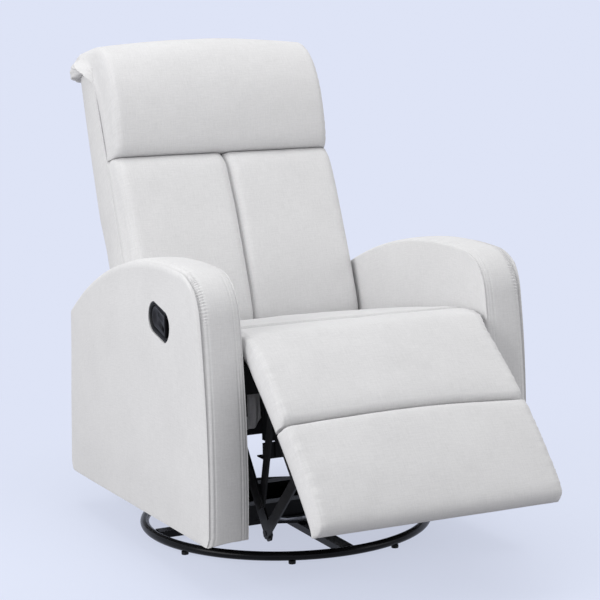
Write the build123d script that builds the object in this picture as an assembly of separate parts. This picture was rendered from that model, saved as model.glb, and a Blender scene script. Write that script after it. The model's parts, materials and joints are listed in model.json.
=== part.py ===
from build123d import *
import os
from math import atan2, cos, degrees, hypot, radians, sin

os.makedirs("parts", exist_ok=True)

# Swivel glider recliner, in millimetres. +Z is up, the chair faces -Y, X runs across it.
# Inside this file Y is measured from the swivel axis; put() moves every piece so that the
# middle of the chair's depth lies at Y = 0.

# ---------------------------------------------------------------- driving dimensions
swivel_axis_y = 78.7        # swivel axis behind the middle of the chair's depth

# clearances
pivot_clearance = 0.05      # radial, pin in a link's hole
open_pivot_clearance = 0.3  # radial, at the pivots that close the linkages
seat_gap = 0.3              # between pieces that seat on each other
soft_gap = 0.3              # between a pad and what it lies on
stamping_sides = 8          # corners that round off the end of a stamped link
stud_collar_wall = 3.5      # six-sided collars stand this far out from their pins

# floor ring
ring_radius = 308.0
ring_tube = 19.0
ring_flat = 7.9             # width of each flat of the eight-sided tube
ring_segments = 40
foot_height = 6.5
foot_diameter = 15.0
foot_count = 8
foot_sides = 8
cross_width = 30.0
cross_height = 14.0
hub_radius = 97.0
hub_thickness = 5.0

# swivel bearing
race_radius = 85.0
race_thickness = 6.0
race_sides = 16
king_pin_radius = 12.0
king_pin_head_rim = 8.0
king_pin_head_height = 5.0
turntable_radius = 112.0
turntable_thickness = 4.0

# glider
glide_link_length = 115.0
glide_pivot_spread = 120.0   # each pair of glide links stands this far from the swivel axis
glide_lower_z = 75.0
glide_pin_radius = 6.0
stud_proud = 2.0             # pins stand out past the links they carry
glide_link_width = 34.0
plate = 4.0                  # steel of links, uprights, hangers and brackets
upright_inset = 27.0         # inner face of the uprights, in from the side plates
glide_link_inset = 17.0      # inner face of the glide links, in from the side plates
upright_foot_half = 27.0
upright_foot_lobe = 8.0
upright_head = 17.0          # half width of the uprights at their studs
hanger_head = 15.0
hanger_foot_half = 46.0
hanger_foot_lobe = 12.0
hanger_foot_z = 290.0
channel_height = 32.0
channel_width = 24.0
channel_wall = 3.0
cross_channel_width = 30.0
cross_channel_y = 80.0
side_channel_half = 150.0

# carriage
side_plate_inset = 25.0      # inner face of the side plates, in from the arms
side_plate_thickness = 3.0
plate_slot = (50.0, 16.0)
plate_slot_at = (-165.0, -85.0, 35.0, 115.0)
plate_slot_z = 306.0
cross_bar_low = 240.0        # bar across the front, seen under the footrest
cross_bar_top = 273.0
cross_bar_depth = 30.0
cross_bar_wall = 3.0
cross_strap_width = 30.0
cross_strap_inset = 28.0     # in from the bay between the footrest links
carriage_tube_at = (-15.0, 300.0)
carriage_tube = 24.0         # square tube that ties the side plates
tube_wall = 2.0
seat_front_y = -372.0        # front face of the seat's front rail
front_rail_thickness = 20.0
front_rail_top = 435.0
front_rail_bottom = 281.0
front_rail_notch = 378.0     # the links pass below this height at the rail's ends
rear_rail_y = 152.0          # rear face of the seat's rear rail
rear_rail_top = 362.0
rear_rail_bottom = 286.0
side_rail_depth = 100.0
apron_side_gap = 16.0
apron_bottom = 300.0
apron_corner = 30.0
apron_thickness = 1.5
link_bay_gap = 7.0           # the front rail's notches start this far inboard of the links

# arms
overall_width = 716.0
arm_width = 90.0
arm_skin = 14.0
arm_outer_chamfer = 7.0
arm_board = 20.0
arm_post_width = 56.0
arm_front_post_y = -390.0
arm_rear_post_y = 306.0
arm_rail_height = 58.0
arm_top_rail_front = 592.0
arm_top_rail_rear = 458.0
arm_low_rail = 180.0
tie_board_y = 372.0          # board between the arms, behind the back
tie_board_thickness = 18.0
tie_board_low = 112.0
tie_board_height = 90.0
arm_front_low = (-418.0, 98.0)   # side view of an arm, as (y, z)
arm_front_bow = (-422.0, 330.0)
arm_brow = (-387.0, 608.0)       # where the front and the top would meet
arm_top_mid = (34.0, 594.0)
arm_rear_high = (364.0, 452.0)
arm_rear_low = (402.0, 78.0)
brow_radius = 98.0
tail_radius = 12.0
heel_radius = 32.0

# seat and chaise pads
seat_side_gap = 5.0          # seat cushion to an arm
chaise_side_gap = 11.0
seat_tuck = 13.0             # the seat cushion reaches this far under the back
chaise_seam_y = -312.0       # seam between the seat cushion and the chaise pad
seat_top_front = 500.0
seat_crown = 5.0             # rise of the seat along the middle, over its straight slope
side_crown = 14.0            # rise of its section across the chair, over its front edge
seam_dip = 2.0               # pads are drawn down this far at a seam
seat_tail_dip = 6.0
pad_shoulder = 22.0          # rounding of the pads' sides
spring_count = 4
spring_pitch = 62.0
spring_reach = 24.0
spring_shoulder = 0.22       # share of the pitch between the middle line and a loop's corner
spring_wire = 4.0

# back
back_lean = 22.4             # degrees from upright
back_foot = (129.0, 425.0)   # front face of the back at the seat, as (y, z)
back_side_gap = 3.0
back_skin = 5.7
back_boxing_front = 45.0     # depth of the welt behind the front face
back_rear_low = 163.0        # depth of the rear face at the seat
back_rear_high = 124.0       # depth of the rear face under the roll
back_tail = 95.0             # the rear face hangs this far below the seat
back_bend = 170.0            # height at which the rear face starts to lean in
head_seam = 408.0            # up the back from the seat
shell_top = 634.0
head_rise = 65.0             # height of the roll over the shell
roll_depth = 178.0
back_round = 60.0            # the back cushion's sides round off over this width
channel_groove = 14.0        # depth of the seam down the middle
channel_lip = 22.0
channel_crown = 6.0
head_bulge = 26.0            # the head cushion stands this far ahead of the back's plane
head_round = 42.0
post_front = 60.0
post_depth = 45.0
post_width = 22.0
post_foot = -10.0
post_top_gap = 15.0
back_rail_height = 42.0
back_rail_thickness = 22.0
back_rail_inset = 20.0
back_rail_low = 8.0
back_rail_mid = 330.0
strap_thickness = 2.0
strap_width = 36.0
strap_overlap = 18.0
strap_heights = (70.0, 130.0, 190.0, 250.0, 295.0, 430.0, 510.0)
recline_pivot = (190.0, 330.0)
recline_pin_radius = 7.0
bracket_low = 26.0           # the back's brackets bear on its posts between these heights
bracket_high = 150.0
bracket_lobe = 18.0
bracket_tip = 14.0

# footrest
fold_pivot = (-380.0, 447.0)
calf_slope = 38.7            # degrees below level, as photographed
foot_slope = 47.0
panel_depth = 50.0           # fabric surface to the fold's axis plane
calf_length = 195.0
foot_length = 219.0
panel_crown = 9.0            # rise of the pads along the middle of the footrest
panel_shoulder = 16.0
board_lift = 3.0
board_thickness = 12.0
nose_radius = 46.0
nose_gap = 1.0
nose_underside = 2.0         # the nose ends this far above the calf board's underside
knuckle_room = 1.3           # radial, between the hinge's knuckles and the pads
leaf_thickness = 2.5
knuckle_radius = 5.2
knuckle_sides = 12
hinge_side_gap = 10.0
hinge_pin_radius = 2.5

# footrest linkage: inner faces of its plates, each in from the side plates
inner_link_inset = 28.0      # rear ottoman link
lower_bar_inset = 23.0       # lower ottoman bar
bracket_inset = 17.0         # footrest bracket
upper_bar_inset = 11.0       # upper ottoman bar
outer_link_inset = 6.0       # front ottoman link
link_width = 24.0
knee_width = 32.0
bar_width = 22.0
link_pin_radius = 5.0
drive_tube = 20.0            # square tube that turns both sides of the footrest together
footrest_tube = 20.0
calf_flange = (64.0, 112.0)  # where the brackets bear on the boards, along each panel
foot_flange = (60.0, 120.0)
flange_width = 26.0
cross_tube_along = 155.0     # middle of the footrest's cross tube, along the calf panel

# release lever, as (y, z) from its centre: half of its outline, whose other half is turned round
lever_facets = 9             # chords of each bulging end
lever_centre = (-210.0, 506.6)
lever_tip = (26.0, 42.0)
lever_bulge = (61.5, 5.0)
lever_shoulder = (36.0, -28.0)
bezel_width = 8.5
bezel_proud = 2.0
cup_depth = 38.0
cup_wall = 2.5
cup_set_back = 0.6           # the cup's rim lies this far behind the bezel's face
paddle_thickness = 6.0
paddle_clearance = 2.5
paddle_edge = -22.0          # front edge of the paddle; the fingers go in ahead of it
paddle_lip = (8.0, 16.0)     # width and depth of the edge that is pulled
paddle_axis_offset = 22.0    # upright axis behind the lever's centre
paddle_axis_depth = 9.0
paddle_pin_radius = 3.0
paddle_boss = (12.0, 30.0, 14.0)
paddle_boss_drop = 8.0

# ---------------------------------------------------------------- derived places
arm_outer_x = overall_width / 2
arm_inner_x = arm_outer_x - arm_width
seat_half_width = arm_inner_x - seat_side_gap
chaise_half_width = arm_inner_x - chaise_side_gap
back_half_width = arm_inner_x - back_side_gap
side_plate_x = arm_inner_x - side_plate_inset
upright_x = side_plate_x - upright_inset
glide_link_x = side_plate_x - glide_link_inset
inner_link_x = side_plate_x - inner_link_inset
lower_bar_x = side_plate_x - lower_bar_inset
bracket_x = side_plate_x - bracket_inset
upper_bar_x = side_plate_x - upper_bar_inset
outer_link_x = side_plate_x - outer_link_inset
link_bay = inner_link_x - link_bay_gap      # half width inboard of the footrest links
ring_z = foot_height + ring_tube / 2
hub_z = ring_z + cross_height / 2
race_z = hub_z + hub_thickness
upper_race_z = race_z + race_thickness + seat_gap
turntable_z = upper_race_z + race_thickness
channel_z = turntable_z + turntable_thickness
glide_upper_z = glide_lower_z + glide_link_length
post_x = back_half_width - back_skin - seat_gap - post_width
bracket_plane = post_x - plate       # inner face of the back's brackets


def polar(length, angle):
    """Offset of a length at an angle, in the side view."""
    return (length * cos(radians(angle)), length * sin(radians(angle)))


def add(a, b):
    return (a[0] + b[0], a[1] + b[1])


def sub(a, b):
    return (a[0] - b[0], a[1] - b[1])


def back(depth, up):
    """Side-view point from its depth behind the back's front face and its height along it."""
    lean_sin, lean_cos = sin(radians(back_lean)), cos(radians(back_lean))
    return (back_foot[0] + depth * lean_cos + up * lean_sin, back_foot[1] - depth * lean_sin + up * lean_cos)


def on_panel(origin, slope, along, out):
    """Side-view point on a footrest panel: along it from its origin, and out towards the fabric."""
    slope_sin, slope_cos = sin(radians(slope)), cos(radians(slope))
    return (origin[0] - along * slope_cos - out * slope_sin, origin[1] - along * slope_sin + out * slope_cos)


def calf(along, out):
    return on_panel(fold_pivot, calf_slope, along, out)


bend = (foot_slope - calf_slope) / 2
bend_pull = panel_depth * sin(radians(bend)) / cos(radians(bend))
foot_origin = calf(calf_length - bend_pull, 0)


def foot(along, out):
    return on_panel(foot_origin, foot_slope, along, out)


foot_end = foot_length + bend_pull

# Pivots of the footrest linkage, as (y, z). Each link is parallel and equal to the line from
# the fold's axis to its bracket pivot, so the bars only travel and the folding stays exact.
lower_joint = foot(66, -40)
upper_joint = calf(120, -30)
knee = (-393.0, 105.0)
front_link_pivot = (-330.0, 270.0)
rear_link_arm = sub(lower_joint, fold_pivot)
rear_link_pivot = sub(knee, rear_link_arm)
front_link_arm = sub(upper_joint, fold_pivot)
upper_knee = add(front_link_pivot, front_link_arm)
front_pivots = [(-glide_pivot_spread, glide_upper_z), (-glide_pivot_spread, glide_lower_z)]
rear_pivots = [(glide_pivot_spread, glide_upper_z), (glide_pivot_spread, glide_lower_z)]


# ---------------------------------------------------------------- helpers
def outline(*edges):
    """Face of a closed side-view outline whose edges are given in (y, z)."""
    return make_face(Curve() + list(edges))


def polygon(*points):
    return outline(Polyline(*points, close=True))


def disc(centre, radius):
    return Pos(*centre) * Circle(radius)


def between(face, x0, x1):
    """Solid of a side-view face from one x station to another."""
    return extrude(Plane.YZ.offset(x0).location * face, amount=x1 - x0, dir=(1, 0, 0))


def block(x0, x1, y0, y1, z0, z1):
    return Pos((x0 + x1) / 2, (y0 + y1) / 2, (z0 + z1) / 2) * Box(abs(x1 - x0), abs(y1 - y0), abs(z1 - z0))


def rod(centre, radius, x0, x1):
    """Round bar along X through a side-view point."""
    return Pos((x0 + x1) / 2, *centre) * Rot(0, 90, 0) * Cylinder(radius, abs(x1 - x0))


def stamped(*lobes, holes=()):
    """Side-view face of a stamped plate: its lobes, as (point, radius), joined by straight edges."""
    ends = [Pos(*centre) * RegularPolygon(radius, stamping_sides, major_radius=False)
            for centre, radius in lobes]
    face = make_hull(Sketch(ends).edges())
    for centre, radius in holes:
        face -= disc(centre, radius)
    return face


def window(y, low, low_half, high, high_half):
    """Tapering side-view opening that lightens a plate."""
    return polygon((y - low_half, low), (y + low_half, low), (y + high_half, high), (y - high_half, high))


def square_tube(centre, side, turn):
    """Side-view section of a square tube."""
    hole = side - 2 * tube_wall
    return Pos(*centre) * Rot(0, 0, turn) * (Rectangle(side, side) - Rectangle(hole, hole))


def stud(centre, radius, x0, x1, collar=0.0):
    """Pin welded to a plate at x0 that reaches x1, with a six-sided collar next to the plate."""
    body = rod(centre, radius, x0, x1)
    if collar:
        nut = Pos(*centre) * RegularPolygon(radius + stud_collar_wall, 6)
        body += between(nut, x0, x0 + collar) if x1 > x0 else between(nut, x0 - collar, x0)
    return body


def both(shape):
    """A piece and its mirror image across the chair."""
    return [shape, mirror(shape, about=Plane.YZ)]


def put(name, *shapes):
    """Write one node; several solids in it stay separate."""
    solids = [solid for shape in shapes for solid in shape.solids()]
    body = solids[0] if len(solids) == 1 else Compound(solids)
    export_step(Pos(0, swivel_axis_y, 0) * body, f"parts/{name}.step")


# ---------------------------------------------------------------- floor ring
def build_base():
    outside, inside = [RegularPolygon(ring_radius + side * ring_tube / 2, ring_segments, major_radius=False)
                       for side in (1, -1)]
    face_out = Rot(0, 0, 180 / ring_segments)
    tube = face_out * extrude(outside - inside, ring_tube)
    level = [edge for edge in tube.edges() if abs(edge.bounding_box().size.Z) < 0.01]
    put("base_ring", Pos(0, 0, foot_height) * chamfer(level, (ring_tube - ring_flat) / 2))

    # the legs end flat against the inside of the ring
    reach = ring_radius - ring_tube / 2
    bars = Box(2 * reach, cross_width, cross_height) + Box(cross_width, 2 * reach, cross_height)
    put("base_cross_legs", Pos(0, 0, ring_z) * (bars - Cylinder(king_pin_radius, cross_height)))

    feet = []
    for index in range(foot_count):
        pad = extrude(RegularPolygon(foot_diameter / 2, foot_sides), foot_height)
        feet.append(Rot(0, 0, 360 / foot_count * (index + 0.5)) * Pos(ring_radius, 0, 0) * pad)
    put("base_feet", *feet)

    hub = round_plate(RegularPolygon(hub_radius, foot_sides), hub_z, hub_thickness, king_pin_radius)
    put("hub_plate", hub)
    race = RegularPolygon(race_radius, race_sides)
    put("bearing_lower_race", round_plate(race, race_z, race_thickness, king_pin_radius))

    pin_bottom = ring_z - cross_height / 2
    pin_top = channel_z + seat_gap
    pin = Pos(0, 0, (pin_bottom + pin_top) / 2) * Cylinder(king_pin_radius, pin_top - pin_bottom)
    head = extrude(RegularPolygon(king_pin_radius + king_pin_head_rim, 6), king_pin_head_height)
    put("king_pin", pin + Pos(0, 0, pin_top) * head)


def round_plate(face, z, thickness, bore):
    return Pos(0, 0, z) * extrude(face - Circle(bore), thickness)


# ---------------------------------------------------------------- swivelling glider base
def build_swivel():
    bore = king_pin_radius + pivot_clearance
    race = RegularPolygon(race_radius, race_sides)
    put("bearing_upper_race", round_plate(race, upper_race_z, race_thickness, bore))
    table = RegularPolygon(turntable_radius, foot_sides)
    flats_square = Rot(0, 0, 180 / foot_sides)
    put("turntable_plate", round_plate(flats_square * table, turntable_z, turntable_thickness, bore))

    # inverted channels: two across the turntable, one along each side
    side_x = upright_x - channel_width
    low, high = channel_z, channel_z + channel_height
    half = cross_channel_width / 2
    room = half - channel_wall
    cross = block(-side_x, side_x, -half, half, low, high)
    cross -= block(-side_x, side_x, -room, room, low - 1, high - channel_wall)
    put("base_cross_channels", Pos(0, -cross_channel_y, 0) * cross, Pos(0, cross_channel_y, 0) * cross)

    half = side_channel_half
    side = block(side_x, upright_x, -half, half, low, high)
    side -= block(side_x + channel_wall, upright_x - channel_wall, -half - 1, half + 1,
                  low - 1, high - channel_wall)
    put("base_side_channels", *both(side))

    # the studs of the uprights carry the glide links
    uprights = []
    for y in (-glide_pivot_spread, glide_pivot_spread):
        top = (y, glide_upper_z)
        spread = upright_foot_half
        foot_z = low + upright_foot_lobe
        face = stamped((top, upright_head), ((y - spread, foot_z), upright_foot_lobe),
                       ((y + spread, foot_z), upright_foot_lobe))
        face -= window(y, low + 22, 16, glide_upper_z - 33, 6)
        face_x = upright_x + plate
        collar = glide_link_x - face_x - seat_gap
        pin = stud(top, glide_pin_radius, face_x, glide_link_x + plate + stud_proud, collar)
        uprights += both(between(face, upright_x, face_x) + pin)
    put("glider_uprights", *uprights)


def build_glide_links():
    fit = glide_pin_radius + pivot_clearance
    loose = glide_pin_radius + open_pivot_clearance
    half = glide_link_width / 2
    for name, (top, low), hole in (("front_glide_links", front_pivots, fit), ("rear_glide_links", rear_pivots, loose)):
        face = stamped((top, half), (low, half), holes=[(top, fit), (low, hole)])
        put(name, *both(between(face, glide_link_x, glide_link_x + plate)))


# ---------------------------------------------------------------- carriage: steel
def build_side_plates():
    outer = side_plate_x + side_plate_thickness
    face = stamped((front_link_pivot, 18), (rear_link_pivot, 22), (recline_pivot, 22),
                   ((-glide_pivot_spread, 278), 18), ((glide_pivot_spread, 284), 18))
    for y in plate_slot_at:
        face -= Pos(y, plate_slot_z) * Rectangle(*plate_slot)
    body = between(face, side_plate_x, outer)
    rear_collar = side_plate_x - inner_link_x - plate - seat_gap
    body += stud(rear_link_pivot, link_pin_radius, side_plate_x, inner_link_x - stud_proud, rear_collar)
    front_collar = side_plate_x - outer_link_x - plate - seat_gap
    body += stud(front_link_pivot, link_pin_radius, side_plate_x, outer_link_x - 0.1, front_collar)
    back_collar = side_plate_x - bracket_plane - plate - seat_gap
    body += stud(recline_pivot, recline_pin_radius, side_plate_x, bracket_plane - stud_proud, back_collar)
    put("left_side_plate", mirror(body, about=Plane.YZ))
    put("right_side_plate", body)

    hangers = []
    for y in (-glide_pivot_spread, glide_pivot_spread):
        low = (y, glide_lower_z)
        left, right = (y - hanger_foot_half, hanger_foot_z), (y + hanger_foot_half, hanger_foot_z)
        web = stamped((low, hanger_head), (left, hanger_foot_lobe), (right, hanger_foot_lobe))
        web -= window(y, 150, 8, 262, 24)
        face_x = side_plate_x - plate
        collar = face_x - glide_link_x - plate - seat_gap
        pin = stud(low, glide_pin_radius, face_x, glide_link_x - stud_proud, collar)
        hangers += both(between(web, face_x, side_plate_x) + pin)
    put("glide_hangers", *hangers)

    tube = square_tube(carriage_tube_at, carriage_tube, 0)
    put("carriage_cross_tube", between(tube, -side_plate_x, side_plate_x))

    rail_back = seat_front_y + front_rail_thickness
    wall = cross_bar_wall
    flange_y = rail_back + wall
    bar = polygon((flange_y, cross_bar_top), (flange_y + wall, cross_bar_top),
                  (flange_y + wall, cross_bar_low + wall), (flange_y + cross_bar_depth, cross_bar_low + wall),
                  (flange_y + cross_bar_depth, cross_bar_low), (flange_y, cross_bar_low))
    cross_bar = between(bar, -link_bay + 3, link_bay - 3)
    strap_end = link_bay - cross_strap_inset
    strap = block(strap_end - cross_strap_width, strap_end, rail_back, rail_back + wall,
                  cross_bar_low + 2, front_rail_bottom + 50)
    for half in both(strap):
        cross_bar += half
    put("front_cross_bar", cross_bar)


# ---------------------------------------------------------------- carriage: seat box
def rail_top(y):
    """Height of the seat box's upper edge, which falls to the rear."""
    front = seat_front_y
    return front_rail_top + (rear_rail_top - front_rail_top) * (y - front) / (rear_rail_y - front)


def build_seat_box():
    outer = side_plate_x + side_plate_thickness
    rail_end = recline_pivot[0] - recline_pin_radius - 14
    side = polygon((seat_front_y, rail_top(seat_front_y)), (rail_end, rail_top(rail_end)),
                   (rail_end, rail_top(rail_end) - side_rail_depth + 20),
                   (seat_front_y, rail_top(seat_front_y) - side_rail_depth))
    rail = between(side, outer + seat_gap, arm_inner_x - seat_gap)
    put("seat_side_rails", *both(rail))

    front = seat_front_y
    inboard = front + front_rail_thickness
    board = between(polygon((front, front_rail_bottom), (inboard, front_rail_bottom),
                            (inboard, rail_top(inboard)), (front, rail_top(front))), -outer, outer)
    notch = block(link_bay, outer + 1, front - 1, inboard + 1, front_rail_bottom - 1, front_rail_notch)
    for half in both(notch):
        board -= half
    put("seat_front_rail", board)

    # fabric flap that hangs in front of the rail and hides the works
    flap_top = fold_pivot[1] - 12
    flap = Rectangle(2 * (link_bay - apron_side_gap), flap_top - apron_bottom)
    flap = Pos(0, (flap_top + apron_bottom) / 2) * flap
    flap = fillet(flap.vertices().sort_by(Axis.Y)[:2], apron_corner)
    hung = Plane(origin=(0, front - leaf_thickness - soft_gap, 0), x_dir=(1, 0, 0), z_dir=(0, -1, 0))
    put("seat_apron", extrude(hung.location * flap, amount=apron_thickness, dir=(0, -1, 0)))

    inside = side_plate_x - plate
    rear_inner = rear_rail_y - front_rail_thickness
    rear = polygon((rear_inner, rear_rail_bottom), (rear_rail_y, rear_rail_bottom),
                   (rear_rail_y, rail_top(rear_rail_y)), (rear_inner, rail_top(rear_inner)))
    put("seat_rear_rail", between(rear, -inside, inside))
    put("seat_springs", *seat_springs())


def seat_springs():
    """Zigzag springs, each bent from one wire, that slope from the front rail's top to the rear's."""
    start, end = seat_front_y + front_rail_thickness / 2, rear_rail_y - front_rail_thickness / 2
    run = hypot(end - start, rail_top(end) - rail_top(start))
    turns = int(run / spring_pitch)
    pitch = run / turns
    shoulder = spring_shoulder * pitch
    points = []
    for index in range(turns + 1):
        side = spring_reach if index % 2 else -spring_reach
        points += [(-side, index * pitch - shoulder), (side, index * pitch + shoulder)]
    wire = trace(Polyline((0, 0), *points[1:-1], (0, run)), spring_wire)
    slope = degrees(atan2(rail_top(end) - rail_top(start), end - start))
    lie = Plane(origin=(0, start, rail_top(start)), x_dir=(1, 0, 0),
                z_dir=(0, -sin(radians(slope)), cos(radians(slope))))
    spring = extrude(lie.location * wire, amount=spring_wire, dir=tuple(lie.z_dir))
    spacing = 2 * link_bay / spring_count
    return [Pos(spacing * (index - (spring_count - 1) / 2), 0, 0) * spring for index in range(spring_count)]


# ---------------------------------------------------------------- arms
def arm_outline(inset=0.0):
    """Side view of an arm: a bowed front, a round brow and one long falling top."""
    face = outline(
        Line(arm_rear_low, arm_front_low),
        ThreePointArc(arm_front_low, arm_front_bow, arm_brow),
        ThreePointArc(arm_brow, arm_top_mid, arm_rear_high),
        Line(arm_rear_high, arm_rear_low),
    )
    if inset:
        face = offset(face, -inset, kind=Kind.INTERSECTION)
    for corner, radius in ((arm_brow, brow_radius), (arm_rear_low, heel_radius)):
        face = fillet(face.vertices().sort_by_distance(corner)[0], radius - inset)
    if inset:
        return face
    return fillet(face.vertices().sort_by_distance(arm_rear_high)[0], tail_radius)


def lever_shape(inset=0.0):
    """Side view of the release lever: two straight flanks and two bulging ends."""
    end = ThreePointArc(lever_shoulder, lever_bulge, lever_tip)
    half = [end @ (index / lever_facets) for index in range(lever_facets + 1)]
    face = polygon(*half, *[-point for point in half])
    if inset:
        face = offset(face, -inset, kind=Kind.INTERSECTION)
    return Pos(*lever_centre) * face


def lever_strip(start, end, low, high):
    """Rectangle measured from the lever's centre."""
    return Pos(*add(lever_centre, ((start + end) / 2, (low + high) / 2))) * Rectangle(end - start, high - low)


def build_arms():
    whole = arm_outline()
    outer_skin = between(whole, arm_outer_x - arm_skin, arm_outer_x)
    outer_skin = chamfer(outer_skin.faces().sort_by(Axis.X)[-1].edges(), arm_outer_chamfer)
    inner_skin = between(whole, arm_inner_x, arm_inner_x + arm_skin)
    board_x = arm_inner_x + arm_skin
    band_end = arm_outer_x - arm_skin
    hollow = between(arm_outline(arm_skin), board_x, band_end)
    band = between(whole, board_x, band_end) - hollow

    # wooden frame against the inner skin
    board_end = board_x + arm_board
    frame_space = between(arm_outline(arm_skin + soft_gap), board_x, board_end)
    posts = [block(board_x, board_end, low, low + arm_post_width, 0, overall_width) & frame_space
             for low in (arm_front_post_y, arm_rear_post_y)]
    rail_start, rail_end = arm_front_post_y + arm_post_width, arm_rear_post_y
    rails = []
    for front_z, rear_z in ((arm_top_rail_front, arm_top_rail_rear), (arm_low_rail, arm_low_rail)):
        strip = polygon((rail_start, front_z), (rail_end, rear_z),
                        (rail_end, rear_z - arm_rail_height), (rail_start, front_z - arm_rail_height))
        rails.append(between(strip, board_x, board_end) & frame_space)

    cup_hole = between(lever_shape(bezel_width - seat_gap), band_end - 1, arm_outer_x + 1)
    put("right_arm_outer_panel", outer_skin)
    put("left_arm_outer_panel", mirror(outer_skin - cup_hole, about=Plane.YZ))
    for name, pieces in (("inner_panel", [inner_skin]), ("band", [band]), ("posts", posts), ("rails", rails)):
        put(f"right_arm_{name}", *pieces)
        put(f"left_arm_{name}", *[mirror(piece, about=Plane.YZ) for piece in pieces])

    # board that ties the arms behind the back
    inside = arm_inner_x - seat_gap
    put("rear_tie_board", block(-inside, inside, tie_board_y, tie_board_y + tie_board_thickness,
                                tie_board_low, tie_board_low + tie_board_height))


# ---------------------------------------------------------------- release lever in the left arm
def build_lever():
    face_x = -arm_outer_x
    rim, hollow = lever_shape(bezel_width), lever_shape(bezel_width + cup_wall)
    put("lever_bezel", between(lever_shape() - rim, face_x - bezel_proud, face_x))

    floor_x = face_x + cup_depth
    cavity = between(hollow, face_x - bezel_proud, floor_x - cup_wall)
    bowl = between(rim, face_x - bezel_proud + cup_set_back, floor_x) - cavity
    axis_y, axis_z = paddle_axis()
    pin_at = Pos(face_x + paddle_axis_depth, axis_y, axis_z)
    tall = 4 * lever_tip[1]
    put("lever_cup", bowl + (pin_at * Cylinder(paddle_pin_radius, tall) & cavity))

    reach = 2 * lever_bulge[0]
    room = lever_shape(bezel_width + cup_wall + paddle_clearance)
    cover = room & lever_strip(paddle_edge, reach, -tall, tall)
    outside = face_x + 1
    body = between(cover, outside, outside + paddle_thickness)
    lip = room & lever_strip(paddle_edge, paddle_edge + paddle_lip[0], -tall, tall)
    body += between(lip, outside, outside + paddle_lip[1])
    boss = Pos(axis_y, axis_z) * Rectangle(*paddle_boss[:2])
    body += between(boss, outside, outside + paddle_boss[2])
    put("release_paddle", body - pin_at * Cylinder(paddle_pin_radius + pivot_clearance, tall))


def paddle_axis():
    """Side-view place of the paddle's upright axis, in the middle of its boss."""
    return add(lever_centre, (paddle_axis_offset, paddle_boss_drop))


# ---------------------------------------------------------------- seat pads
def build_seat_pads():
    lift = spring_wire + soft_gap
    rear_end = back_foot[0] + seat_tuck
    top_slope = (back_foot[1] - seat_top_front) / (back_foot[0] - chaise_seam_y)

    def seat_top(y):
        return seat_top_front - seam_dip / 2 + top_slope * (y - chaise_seam_y)

    middle = (chaise_seam_y + rear_end) / 2
    start = chaise_seam_y + soft_gap
    front_low, rear_low = (start, rail_top(start) + lift), (rear_end, rail_top(rear_end) + lift)
    front_high, rear_high = (start, seat_top(start) - seam_dip), (rear_end, seat_top(rear_end) - seat_tail_dip)
    profile = outline(
        Polyline(front_high, front_low, rear_low, rear_high),
        ThreePointArc(rear_high, (middle, seat_top(middle) + seat_crown), front_high),
    )
    cushion = between(profile, -seat_half_width, seat_half_width)
    crown_top = seat_top_front + side_crown
    cushion &= across_crown(seat_half_width, rail_top(rear_end), crown_top, start, rear_end)
    put("seat_cushion", cushion)

    # front pad of the chaise: its nose is round about the fold's axis
    py, pz = fold_pivot
    clear = board_lift + nose_underside
    under = pz + clear
    nose_top, nose_side = (py, pz + nose_radius), (py - (nose_radius ** 2 - clear ** 2) ** 0.5, under)
    back_edge = chaise_seam_y - soft_gap
    seam_low, seam_high = (back_edge, rail_top(back_edge) + lift), (back_edge, seat_top_front - 2 * seam_dip)
    profile = outline(
        Line(seam_low, seam_high),
        ThreePointArc(seam_high, ((back_edge + py) / 2, seat_top_front - seam_dip / 4), nose_top),
        ThreePointArc(nose_top, add(fold_pivot, polar(nose_radius, 135)), nose_side),
        Polyline(nose_side, (seat_front_y - seat_gap, under), seam_low),
    )
    pad = between(profile, -chaise_half_width, chaise_half_width)
    pad -= rod(fold_pivot, knuckle_radius + knuckle_room, -chaise_half_width, chaise_half_width)
    pad &= across_crown(chaise_half_width, pz - nose_radius, crown_top, py - nose_radius - 1, back_edge)
    put("seat_front_pad", pad)


def mirrored(edge):
    """Edge of a section and its mirror image about the section's upright axis."""
    return [edge, mirror(edge, about=Plane.YZ)]


def across_crown(half_width, low, high, y0, y1):
    """Block along Y whose section across the chair has a crowned top and round shoulders."""
    corner = pad_shoulder
    shoulder = high - corner
    side, turn = (half_width, shoulder - corner), (half_width - corner * 1.6, shoulder + corner * 0.35)
    face = outline(
        Line((-half_width, low), (half_width, low)),
        *mirrored(Line((half_width, low), side)),
        *mirrored(ThreePointArc(side, (half_width - corner * 0.35, shoulder - corner * 0.2), turn)),
        ThreePointArc(turn, (0, high), (-turn[0], turn[1])),
    )
    section = Plane(origin=(0, y1, 0), x_dir=(1, 0, 0), z_dir=(0, -1, 0))
    return extrude(section.location * face, amount=y1 - y0, dir=(0, -1, 0))


# ---------------------------------------------------------------- back
def back_side(depth_points):
    return polygon(*[back(*point) for point in depth_points])


def across_back(face, low, high):
    """Solid of a plan-view face (x, depth) from one height along the back to another."""
    lean_sin, lean_cos = sin(radians(back_lean)), cos(radians(back_lean))
    base = back(0, low)
    section = Plane(origin=(0, base[0], base[1]), x_dir=(1, 0, 0), z_dir=(0, lean_sin, lean_cos))
    return extrude(section.location * face, amount=high - low, dir=(0, lean_sin, lean_cos))


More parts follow.
